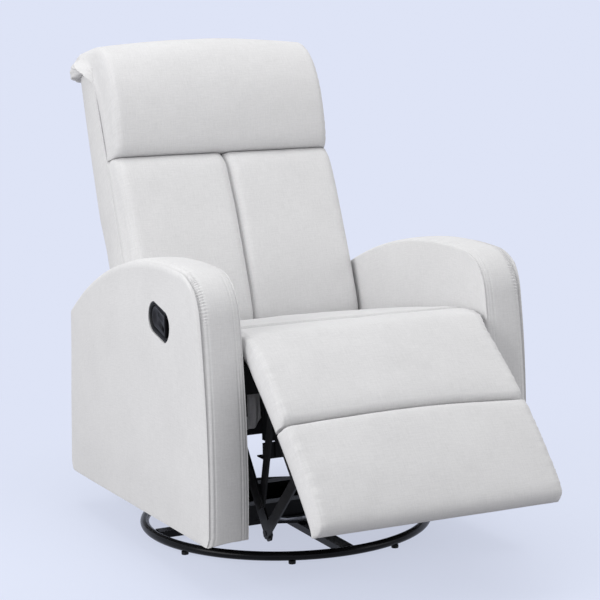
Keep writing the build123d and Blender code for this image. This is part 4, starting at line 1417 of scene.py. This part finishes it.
    def _panel(self, s: float, t: float, x: float) -> Vector:
        """Point of the outer or the inner panel.

        Args:
            s: Share of the way to the rear.
            t: Share of the way up.
            x: Distance from the middle of the chair.

        Returns:
            Point in space, on the right side.
        """
        spot = self.outline.patch(s, t)
        inner = x < (self.inner_x + self.outer_x) / 2
        full = self.inner_round if inner else self._blend(self.outer_round, s, t)
        edge = min(s * self.LENGTH, (1 - s) * self.LENGTH, (1 - t) * self.HEIGHT)
        foot = t * self.HEIGHT
        fall = max(corner_fall(edge + self.SLIP * full, full),
                   corner_fall(foot + self.SLIP * self.foot_round, self.foot_round))
        flat, deep = self.LUMP_WAVES
        reach, rise = self.PUFF_REACH
        swell = (self.inner_puff if inner else self.puff) * ease(edge / reach) * ease(foot / rise)
        swell += self.lump * noise.noise(Vector((spot.x * flat, spot.y * flat, x * deep)))
        return Vector((x + (-1 if inner else 1) * (swell - fall), spot.x, spot.y))

    def place(self, s: float, t: float, x: float) -> Vector:
        """Point of the cover from its stations.

        Args:
            s: Share of the way to the rear.
            t: Share of the way up.
            x: Distance from the middle of the chair.

        Returns:
            Point in space.
        """
        rim = s in (0.0, 1.0) or t in (0.0, 1.0)
        if rim and x in (self.inner_x, self.outer_x):
            inner = x == self.inner_x
            slip = self.SLIP * self._round(s, t, inner)
            spot = self._rim(s, t, x + slip if inner else x - slip)
        else:
            spot = self._rim(s, t, x) if rim else self._panel(s, t, x)
        inward = (self.outer_x - spot.x) / (self.outer_x - self.inner_x)
        near_front = 1 - ease(s * self.LENGTH / self.LEAN_REACH)
        near_front *= 1 - (1 - self.LEAN_KEPT) * self._spread(0.0, t)
        spot.x -= self.lean * near_front * ease(1 - inward / self.LEAN_DEPTH) * ease(t / self.LEAN_FOOT)
        hem = self.hem_rise * inward + self.hem_sag * math.sin(math.pi * inward)
        spot.z += hem * (1 - t) ** self.HEM_POWER
        spot.x *= self.side.value
        return spot

    def build(self) -> bpy.types.Object:
        """Lay out the stations and make the cover.

        Returns:
            The cover, without the lever's pocket.
        """
        near = (0.003, 0.008, 0.014, 0.022)         # metres in from an edge
        front = [0.0022 * step for step in range(1, 50)]                # close, for the puckers of the brow
        behind = [0.12 + 0.84 * step / 62 for step in range(63)]
        below = [0.02 + 0.76 * step / 38 for step in range(39)]
        brow = [0.784 + 0.0035 * step for step in range(61)]            # close, for the same
        ends = [end for gap in near for end in (gap / self.LENGTH, 1 - gap / self.LENGTH)]
        s = sorted({0.0, 1.0, *ends, *front, *behind})
        t = sorted({0.0, 0.004, 0.008, 1.0, *below, *brow, *(1 - gap / self.HEIGHT for gap in near)})
        inner, outer = self.inner_x + self.inner_seam, self.outer_x - self.outer_seam[1]
        lines = (inner, inner + self.stitch_gaps[1], outer, outer - self.stitch_gaps[0])
        low = self.inner_x + self.SLIP * self.inner_round
        high = self.outer_x - self.SLIP * self.outer_round[1]
        x = [self.inner_x, *stations(low, high, 20, lines, 0.0012)[1:-1], self.outer_x]
        name = f"{self.side.name.lower()}_arm_cover"
        return Lattice(s, t, x).build(name, self.place, (self.RIM_LENGTH, self.HEIGHT, 1.0))

    def make(self, shop: Workshop, lever: "ReleaseLever") -> None:
        """Build and hang the cover, with the lever's pocket in the left one.

        Args:
            shop: Where the cover gets its finish and its body.
            lever: The lever that sits in the left arm.
        """
        cover = self.build()
        if self.side is Side.LEFT:
            carve(cover, lever.pocket())
        parts = ("outer_panel", "inner_panel", "band")
        nodes = [f"{self.side.name.lower()}_arm_{part}" for part in parts]
        shop.hang(cover, Finish.UPHOLSTERY, "carriage", nodes, 0.7)


def sort_by_place(mesh: bmesh.types.BMesh) -> None:
    """Number the points, edges and faces by their place, because a cut numbers them anew at each run.

    Args:
        mesh: The bmesh, which is sorted in place.
    """
    middles = (
        (mesh.verts, lambda vert: vert.co),
        (mesh.edges, lambda edge: edge.verts[0].co + edge.verts[1].co),
        (mesh.faces, lambda face: face.calc_center_median()),
    )
    for parts, middle in middles:
        rising = sorted(parts, key=lambda part: tuple(middle(part)))
        ranks = {part: rank for rank, part in enumerate(rising)}
        parts.sort(key=ranks.get)


def carve(piece: bpy.types.Object, cutter: bpy.types.Object) -> None:
    """Cut a closed shape out of a piece, keep the new edges crisp and delete the cutter.

    Args:
        piece: The closed piece, changed in place.
        cutter: The shape to take away.
    """
    crisp = 0.9                     # radians between the faces of a crisp edge
    cut = piece.modifiers.new("pocket", "BOOLEAN")
    cut.operation, cut.solver, cut.object = "DIFFERENCE", "EXACT", cutter
    whole = piece.data
    shape = piece.evaluated_get(bpy.context.evaluated_depsgraph_get())
    piece.data = bpy.data.meshes.new_from_object(shape)
    piece.modifiers.clear()
    piece.data.name = piece.name
    bpy.data.meshes.remove(whole)
    bpy.data.objects.remove(cutter)
    mesh = bmesh.new()
    mesh.from_mesh(piece.data)
    for edge in mesh.edges:
        if len(edge.link_faces) == 2 and edge.calc_face_angle() > crisp:
            edge.smooth = False
    sort_by_place(mesh)
    mesh.to_mesh(piece.data)
    mesh.free()


# ---------------------------------------------------------------- release lever
def loft(name: str, rings: Sequence[Sequence[Vector]], caps: bool) -> bpy.types.Object:
    """Skin a row of rings that all have as many points.

    Args:
        name: Name of the piece.
        rings: Points of each ring, in the same order.
        caps: Whether the first and last rings are filled; otherwise they are joined to each other.

    Returns:
        The closed piece.
    """
    mesh = bmesh.new()
    row = list(bmesh.ops.create_circle(mesh, segments=len(rings[0]), radius=1.0)["verts"])
    edges = mesh.edges[:]
    for vert, spot in zip(row, rings[0]):
        vert.co = spot
    for ring in rings[1:]:
        grown = bmesh.ops.extrude_edge_only(mesh, edges=edges)["geom"]
        fresh = [part for part in grown if isinstance(part, bmesh.types.BMVert)]
        partner = {}
        for edge in mesh.edges:
            first, second = edge.verts
            for old, new in ((first, second), (second, first)):
                if new in fresh and old in row:
                    partner[old] = new
        row = [partner[vert] for vert in row]
        edges = [part for part in grown if isinstance(part, bmesh.types.BMEdge)
                 and part.verts[0] in fresh and part.verts[1] in fresh]
        for vert, spot in zip(row, ring):
            vert.co = spot
    if caps:
        bmesh.ops.holes_fill(mesh, edges=mesh.edges, sides=0)
    else:
        bmesh.ops.bridge_loops(mesh, edges=[edge for edge in mesh.edges if edge.is_boundary])
    return to_object(name, mesh)


@dataclass(frozen=True)
class ReleaseLever:
    """Moulded bezel and cup in the left arm, and the paddle that is pulled."""

    centre: Vector
    face_x: float = -0.358
    tip: tuple[float, float] = (0.026, 0.042)
    bulge: tuple[float, float] = (0.0615, 0.005)
    shoulder: tuple[float, float] = (0.036, -0.028)
    facets: int = 26
    bezel_width: float = 0.0085
    proud: float = 0.002
    cup_depth: float = 0.038
    cup_wall: float = 0.0025
    pocket_gap: float = 0.004
    paddle_edge: float = -0.0198    # the paddle's straight front edge, from the centre
    paddle_clear: float = 0.0135    # from the outline to the paddle

    def outline(self, inset: float) -> list[Vector]:
        """Points round the lever's outline, moved inwards.

        Args:
            inset: How far they are moved.

        Returns:
            Points as (y, z) from the centre.
        """
        centre, _ = circle_through(Vector(self.shoulder), Vector(self.bulge), Vector(self.tip))
        start, end = Vector(self.shoulder) - centre, Vector(self.tip) - centre
        sweep = (math.atan2(end.y, end.x) - math.atan2(start.y, start.x)) % (2 * math.pi)
        turns = [sweep * step / self.facets for step in range(self.facets + 1)]
        half = [centre + Matrix.Rotation(turn, 2) @ start for turn in turns]
        whole = half + [-point for point in half]
        moved = []
        for before, point, after in zip([whole[-1], *whole], whole, [*whole[1:], whole[0]]):
            into, out = (Vector((-run.y, run.x)).normalized() for run in (point - before, after - point))
            middle = (into + out).normalized()
            moved.append(point + middle * inset / max(middle.dot(into), 0.5))
        return moved

    def ring(self, inset: float, depth: float, cut: float = -1.0) -> list[Vector]:
        """Ring of the outline at a depth behind the arm's face, cut off straight at its front."""
        return [Vector((self.face_x + depth, self.centre.x + max(point.x, cut), self.centre.y + point.y))
                for point in self.outline(inset)]

    def pocket(self) -> bpy.types.Object:
        """Cutter of the hole that the cup stands in."""
        depths = (-0.02, self.cup_depth + self.pocket_gap)
        return loft("pocket_cutter", [self.ring(self.pocket_gap, depth) for depth in depths], True)

    def bezel(self) -> bpy.types.Object:
        """Rim with a rounded face and a step down to the cup.

        Returns:
            The bezel.
        """
        w, p, step = self.bezel_width, self.proud, 0.008
        profile = ((-0.0022, 0.0), (-0.0020, -p * 0.55), (-0.0012, -p * 0.92), (0.0006, -p),
                   (w - 0.0026, -p), (w - 0.0012, -p * 0.85), (w - 0.0004, -p * 0.4), (w - 0.0002, step),
                   (0.0048, step), (0.0046, 0.0006))
        return loft("release_bezel", [self.ring(*point) for point in profile], False)

    def cup(self) -> bpy.types.Object:
        """Finger cup with a rounded floor.

        Returns:
            The cup.
        """
        rim, deep = 0.0006 - self.proud, self.cup_depth
        outer, wall = self.bezel_width + 0.0002, self.cup_wall
        inner = outer + wall
        profile = ((outer + 0.001, deep), (outer, deep - 0.004), (outer, rim + 0.0005),
                   (outer + 0.0005, rim), (inner, rim + 0.0004), (inner + 0.0006, deep - 0.012),
                   (inner + 0.0024, deep - 0.006), (inner + 0.007, deep - wall - 0.0006),
                   (inner + 0.014, deep - wall))
        return loft("release_cup", [self.ring(*point) for point in profile], True)

    def paddle(self) -> bpy.types.Object:
        """Dished plate with a turned-in lip, from the inset, depth and cut of its rings.

        Returns:
            The paddle.
        """
        profile = ((0.0015, 0.0105, 0.0015), (0.0, 0.0085, 0.0), (0.0, 0.0020, 0.0),
                   (0.0006, 0.0008, 0.0006), (0.0020, 0.0004, 0.0020), (0.0050, 0.0012, 0.0048),
                   (0.0085, 0.0036, 0.0085), (0.0150, 0.0052, 0.0160), (0.0210, 0.0056, 0.0240))
        rings = [self.ring(self.paddle_clear + inset, depth, self.paddle_edge + cut)
                 for inset, depth, cut in profile]
        return loft("release_paddle_cover", rings, True)

    def make(self, shop: Workshop) -> None:
        """Build and hang the bezel, the cup and the paddle.

        Args:
            shop: Where they get their finish and their body.
        """
        shop.hang(self.bezel(), Finish.LEVER_PLASTIC, "carriage", ["lever_bezel"])
        shop.hang(self.cup(), Finish.CUP_PLASTIC, "carriage", ["lever_cup"])
        shop.hang(self.paddle(), Finish.PADDLE_PLASTIC, "release_paddle",
                  ["release_paddle"])


# ---------------------------------------------------------------- lining
@dataclass(frozen=True)
class Lining:
    """Sheets of grey lining: the flap under the seat's front, and a gathered curtain at each side."""

    thick: float = 0.0009
    flap_half: float = 0.192
    flap_low: float = 0.300
    flap_high: float = 0.4345
    flap_y: float = -0.3755
    flap_corner: float = 0.030
    flap_wave: float = 0.0011
    flap_waves: float = 190.0       # radians per metre
    flap_clear: float = 0.0006      # in front of the rail
    hem_dent: float = 0.0005
    hem: float = 0.10               # share of the flap's height at which its hem is sewn
    curtain_inner: float = 0.205
    curtain_outer: float = 0.246
    curtain_flat: float = 0.045     # width before it is gathered
    curtain_low: float = 0.302
    curtain_high: float = 0.428
    curtain_y: float = -0.338
    curtain_corner: float = 0.020
    curtain_fold: float = 0.0030
    curtain_folds: float = 2.2

    def flap(self) -> bpy.types.Object:
        """Flap that hangs from the front rail, gathered a little along its top.

        Returns:
            The flap.
        """
        drop = self.flap_high - self.flap_low

        def place(x: float, up: float, through: float) -> Vector:
            """Point of the flap.

            Args:
                x: Distance from the middle of the chair, at the top.
                up: Share of the way up.
                through: Share of the way through the cloth.

            Returns:
                Point in space.
            """
            half = self.flap_half - corner_fall(up * drop, self.flap_corner)
            wave = self.flap_wave * math.sin(x * self.flap_waves + 2 * math.sin(x * 23)) * (0.35 + 0.65 * up)
            y = self.flap_y - self.flap_clear - through * self.thick - wave
            y += self.hem_dent * dent(up - self.hem, 0.012)
            return Vector((x / self.flap_half * half, *at(y, self.flap_low + drop * up)))

        lattice = Lattice(stations(-self.flap_half, self.flap_half, 120),
                          stations(0.0, 1.0, 36, [self.hem], 0.006), (0.0, 1.0))
        return lattice.build("apron_flap", place, (1.0, drop, 1.0))

    def curtain(self, side: Side) -> bpy.types.Object:
        """Gathered curtain between the apron and the arm, rounded at its lower inner corner.

        Args:
            side: Side of the chair.

        Returns:
            The curtain.
        """
        span, drop = self.curtain_outer - self.curtain_inner, self.curtain_high - self.curtain_low

        def place(share: float, up: float, through: float) -> Vector:
            """Point of the curtain.

            Args:
                share: Share of the way out to the arm.
                up: Share of the way up.
                through: Share of the way through the cloth.

            Returns:
                Point in space.
            """
            low = self.curtain_corner * max(1 - share / 0.55, 0.0) ** 2
            fold = math.sin(2 * math.pi * (self.curtain_folds * share + 0.15 * math.sin(5 * up)))
            y = self.curtain_y + self.curtain_fold * fold * (1 - 0.55 * up) - 0.004 * (1 - up)
            spot = at(y + through * self.thick, self.curtain_low + low + (drop - low) * up)
            return Vector((side.value * (self.curtain_inner + span * share), *spot))

        lattice = Lattice(stations(0.0, 1.0, 40), stations(0.0, 1.0, 30), (0.0, 1.0))
        return lattice.build(f"{side.name.lower()}_curtain", place, (span, drop, 1.0))

    def make(self, shop: Workshop) -> None:
        """Args:
            shop: Where the sheets get their finish and their body.
        """
        flap = shop.hang(self.flap(), Finish.LINING, "carriage", ["seat_apron"])
        for side in Side:
            curtain = shop.hang(self.curtain(side), Finish.LINING, "carriage")


# ---------------------------------------------------------------- floor base
@dataclass(frozen=True)
class FloorBase:
    """Ring of round tube that stands on the floor."""

    ring_radius: float = 0.308
    tube_radius: float = 0.0095
    tube_height: float = 0.016
    tube_sides: int = 24
    ring_steps: int = 144

    def ring(self) -> bpy.types.Object:
        """Spin the tube from one circle.

        Returns:
            The ring.
        """
        middle = Vector((0.0, SWIVEL_Y, self.tube_height))
        mesh = bmesh.new()
        circle = bmesh.ops.create_circle(mesh, segments=self.tube_sides, radius=self.tube_radius)
        bmesh.ops.rotate(mesh, verts=circle["verts"], matrix=Matrix.Rotation(math.pi / 2, 3, "X"))
        bmesh.ops.translate(mesh, verts=circle["verts"], vec=middle + Vector((self.ring_radius, 0.0, 0.0)))
        bmesh.ops.spin(mesh, geom=mesh.verts[:] + mesh.edges[:], cent=middle, axis=(0, 0, 1),
                       angle=2 * math.pi, steps=self.ring_steps, use_merge=True, use_duplicate=False)
        return to_object("ring_tube", mesh)

    def make(self, shop: Workshop) -> None:
        """Build and hang the ring."""
        shop.hang(self.ring(), Finish.BASE_PAINT, "base", ["base_ring"])


# ---------------------------------------------------------------- studio
@dataclass(frozen=True)
class Lamp:
    """Large soft lamp aimed at the middle of the chair."""

    name: str
    place: tuple[float, float, float]
    size: float
    power: float

    AIM = Vector((0, 0, 0.5))

    def make(self) -> None:
        """Hang the lamp and turn it to the chair."""
        data = bpy.data.lights.new(self.name, "AREA")
        data.shape, data.size, data.energy = "DISK", self.size, self.power
        lamp = bpy.data.objects.new(self.name, data)
        bpy.context.scene.collection.objects.link(lamp)
        lamp.location = self.place
        lamp.rotation_euler = (self.AIM - Vector(self.place)).to_track_quat("-Z", "Y").to_euler()


def join(tree: bpy.types.NodeTree, *pairs: tuple[bpy.types.NodeSocket, bpy.types.NodeSocket]) -> None:
    """Link each pair of sockets."""
    for start, end in pairs:
        tree.links.new(start, end)


def seen_directly(tree: bpy.types.NodeTree) -> bpy.types.NodeSocket:
    """Tell the rays that show a surface from those that only light others.

    Args:
        tree: Node tree that gets the nodes.

    Returns:
        Socket that is 1 for rays that are seen, mirrored or looked through.
    """
    path = tree.nodes.new("ShaderNodeLightPath")
    first = tree.nodes.new("ShaderNodeMath")
    second = tree.nodes.new("ShaderNodeMath")
    first.operation = second.operation = "MAXIMUM"
    join(tree, (path.outputs["Is Camera Ray"], first.inputs[0]),
         (path.outputs["Is Glossy Ray"], first.inputs[1]), (first.outputs[0], second.inputs[0]),
         (path.outputs["Is Transmission Ray"], second.inputs[1]))
    return second.outputs[0]


def coloured(tree: bpy.types.NodeTree, kind: str, colour: tuple[float, float, float]) -> bpy.types.Node:
    """Add a node of one colour.

    Args:
        tree: Node tree that gets the node.
        kind: Type of the node.
        colour: Its colour.

    Returns:
        The new node.
    """
    node = tree.nodes.new(kind)
    node.inputs["Color"].default_value = (*colour, 1.0)
    return node


@dataclass(frozen=True)
class Studio:
    """Camera of the photograph, floor, backdrop and lamps."""

    lens: float = 111.357
    sensor: float = 36.0
    azimuth: float = -25.0885
    elevation: float = 8.8054
    roll: float = -1.0829
    eye: tuple[float, float, float] = (-1.6350, -3.5073, 1.1025)
    lamps: tuple[Lamp, ...] = (
        Lamp("key", (-3.6, -0.8, 1.7), 2.8, 75.0),
        Lamp("fill", (2.9, -2.3, 1.5), 2.4, 22.0),
        Lamp("overhead", (0.1, 0.2, 3.6), 2.8, 44.0),
    )
    backdrop: tuple[float, float, float] = (0.730, 0.774, 0.922)
    sky: tuple[float, float, float] = (0.99, 0.99, 1.0)
    sky_strength: float = 0.55
    floor_radius: float = 14.0
    floor_bounce: tuple[float, float, float] = (0.42, 0.42, 0.44)   # as it lights the chair
    floor_shade: tuple[float, float, float] = (0.78, 0.83, 0.95)    # as it takes the chair's shadow
    fade: tuple[float, float] = (0.35, 1.7)     # distances over which the shadow fades out
    least_glow: float = 0.72                    # share of plain backdrop under the chair

    def camera(self) -> None:
        """Set the camera up."""
        a, e, r = (math.radians(value) for value in (self.azimuth, self.elevation, self.roll))
        behind = Vector((math.sin(a) * math.cos(e), -math.cos(a) * math.cos(e), math.sin(e)))
        level = Vector((math.cos(a), math.sin(a), 0.0))
        upright = level.cross(-behind)
        right = level * math.cos(r) + upright * math.sin(r)
        up = upright * math.cos(r) - level * math.sin(r)
        data = bpy.data.cameras.new("photo_camera")
        data.lens, data.sensor_width = self.lens, self.sensor
        camera = bpy.data.objects.new("photo_camera", data)
        bpy.context.scene.collection.objects.link(camera)
        turn = Matrix((right, up, behind)).transposed().to_4x4()
        camera.matrix_world = Matrix.Translation(self.eye) @ turn
        bpy.context.scene.camera = camera

    def world(self) -> None:
        """Light the scene from all sides, and show the backdrop where it is seen."""
        world = bpy.data.worlds.new("studio")
        bpy.context.scene.world = world
        world.use_nodes = True
        tree = world.node_tree
        tree.nodes.clear()
        light, seen = (coloured(tree, "ShaderNodeBackground", tone) for tone in (self.sky, self.backdrop))
        light.inputs["Strength"].default_value = self.sky_strength
        mix, output = tree.nodes.new("ShaderNodeMixShader"), tree.nodes.new("ShaderNodeOutputWorld")
        join(tree, (seen_directly(tree), mix.inputs["Fac"]), (light.outputs[0], mix.inputs[1]),
             (seen.outputs[0], mix.inputs[2]), (mix.outputs[0], output.inputs["Surface"]))

    def floor(self) -> None:
        """Lay a floor of the backdrop's colour, which keeps a soft shadow near the chair."""
        mesh = bmesh.new()
        bmesh.ops.create_circle(mesh, segments=64, radius=self.floor_radius, cap_ends=True)
        floor = to_object("floor", mesh, smooth=False)
        material = bpy.data.materials.new("floor")
        material.use_nodes = True
        tree = material.node_tree
        tree.nodes.clear()
        glow = coloured(tree, "ShaderNodeEmission", self.backdrop)
        matt = coloured(tree, "ShaderNodeBsdfDiffuse", self.floor_bounce)
        shade = coloured(tree, "ShaderNodeBsdfDiffuse", self.floor_shade)
        inner, outer = tree.nodes.new("ShaderNodeMixShader"), tree.nodes.new("ShaderNodeMixShader")
        place, spread = tree.nodes.new("ShaderNodeTexCoord"), tree.nodes.new("ShaderNodeVectorMath")
        fade = tree.nodes.new("ShaderNodeMapRange")
        spread.operation = "LENGTH"
        fade.interpolation_type = "SMOOTHSTEP"
        limits = (*self.fade, self.least_glow, 1.0)
        for socket, value in zip(("From Min", "From Max", "To Min", "To Max"), limits):
            fade.inputs[socket].default_value = value
        join(tree, (place.outputs["Object"], spread.inputs[0]),
             (spread.outputs["Value"], fade.inputs["Value"]), (fade.outputs["Result"], inner.inputs["Fac"]),
             (shade.outputs[0], inner.inputs[1]), (glow.outputs[0], inner.inputs[2]))
        join(tree, (seen_directly(tree), outer.inputs["Fac"]), (matt.outputs[0], outer.inputs[1]),
             (inner.outputs[0], outer.inputs[2]))
        output = tree.nodes.new("ShaderNodeOutputMaterial")
        join(tree, (outer.outputs[0], output.inputs["Surface"]))
        floor.data.materials.append(material)
        floor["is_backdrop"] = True

    def make(self) -> None:
        """Set the whole studio up."""
        self.camera()
        for lamp in self.lamps:
            lamp.make()
        self.world()
        self.floor()
        bpy.context.scene.view_settings.view_transform = "Standard"


def write_sizes() -> None:
    """Work out the CAD box and the dressed box, which are not kept or compared."""
    boxes = [[list(corner) for corner in pair] for pair in (CAD_BOX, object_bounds())]


def main() -> None:
    """Build the studio, then the chair: nodes, base, pads, arms, lever and lining."""
    logging.basicConfig(level=logging.INFO, format="%(name)s: %(message)s")
    Studio().make()
    shop = Workshop()
    shop.dress_nodes()
    FloorBase().make(shop)
    Upholstery().make(shop)
    outline = Outline()
    lever = ReleaseLever(at(-0.210, 0.5066))
    for side in Side:
        ArmCover(side, outline).make(shop, lever)
    lever.make(shop)
    Lining().make(shop)
    write_sizes()


if __name__ == "__main__":
    main()
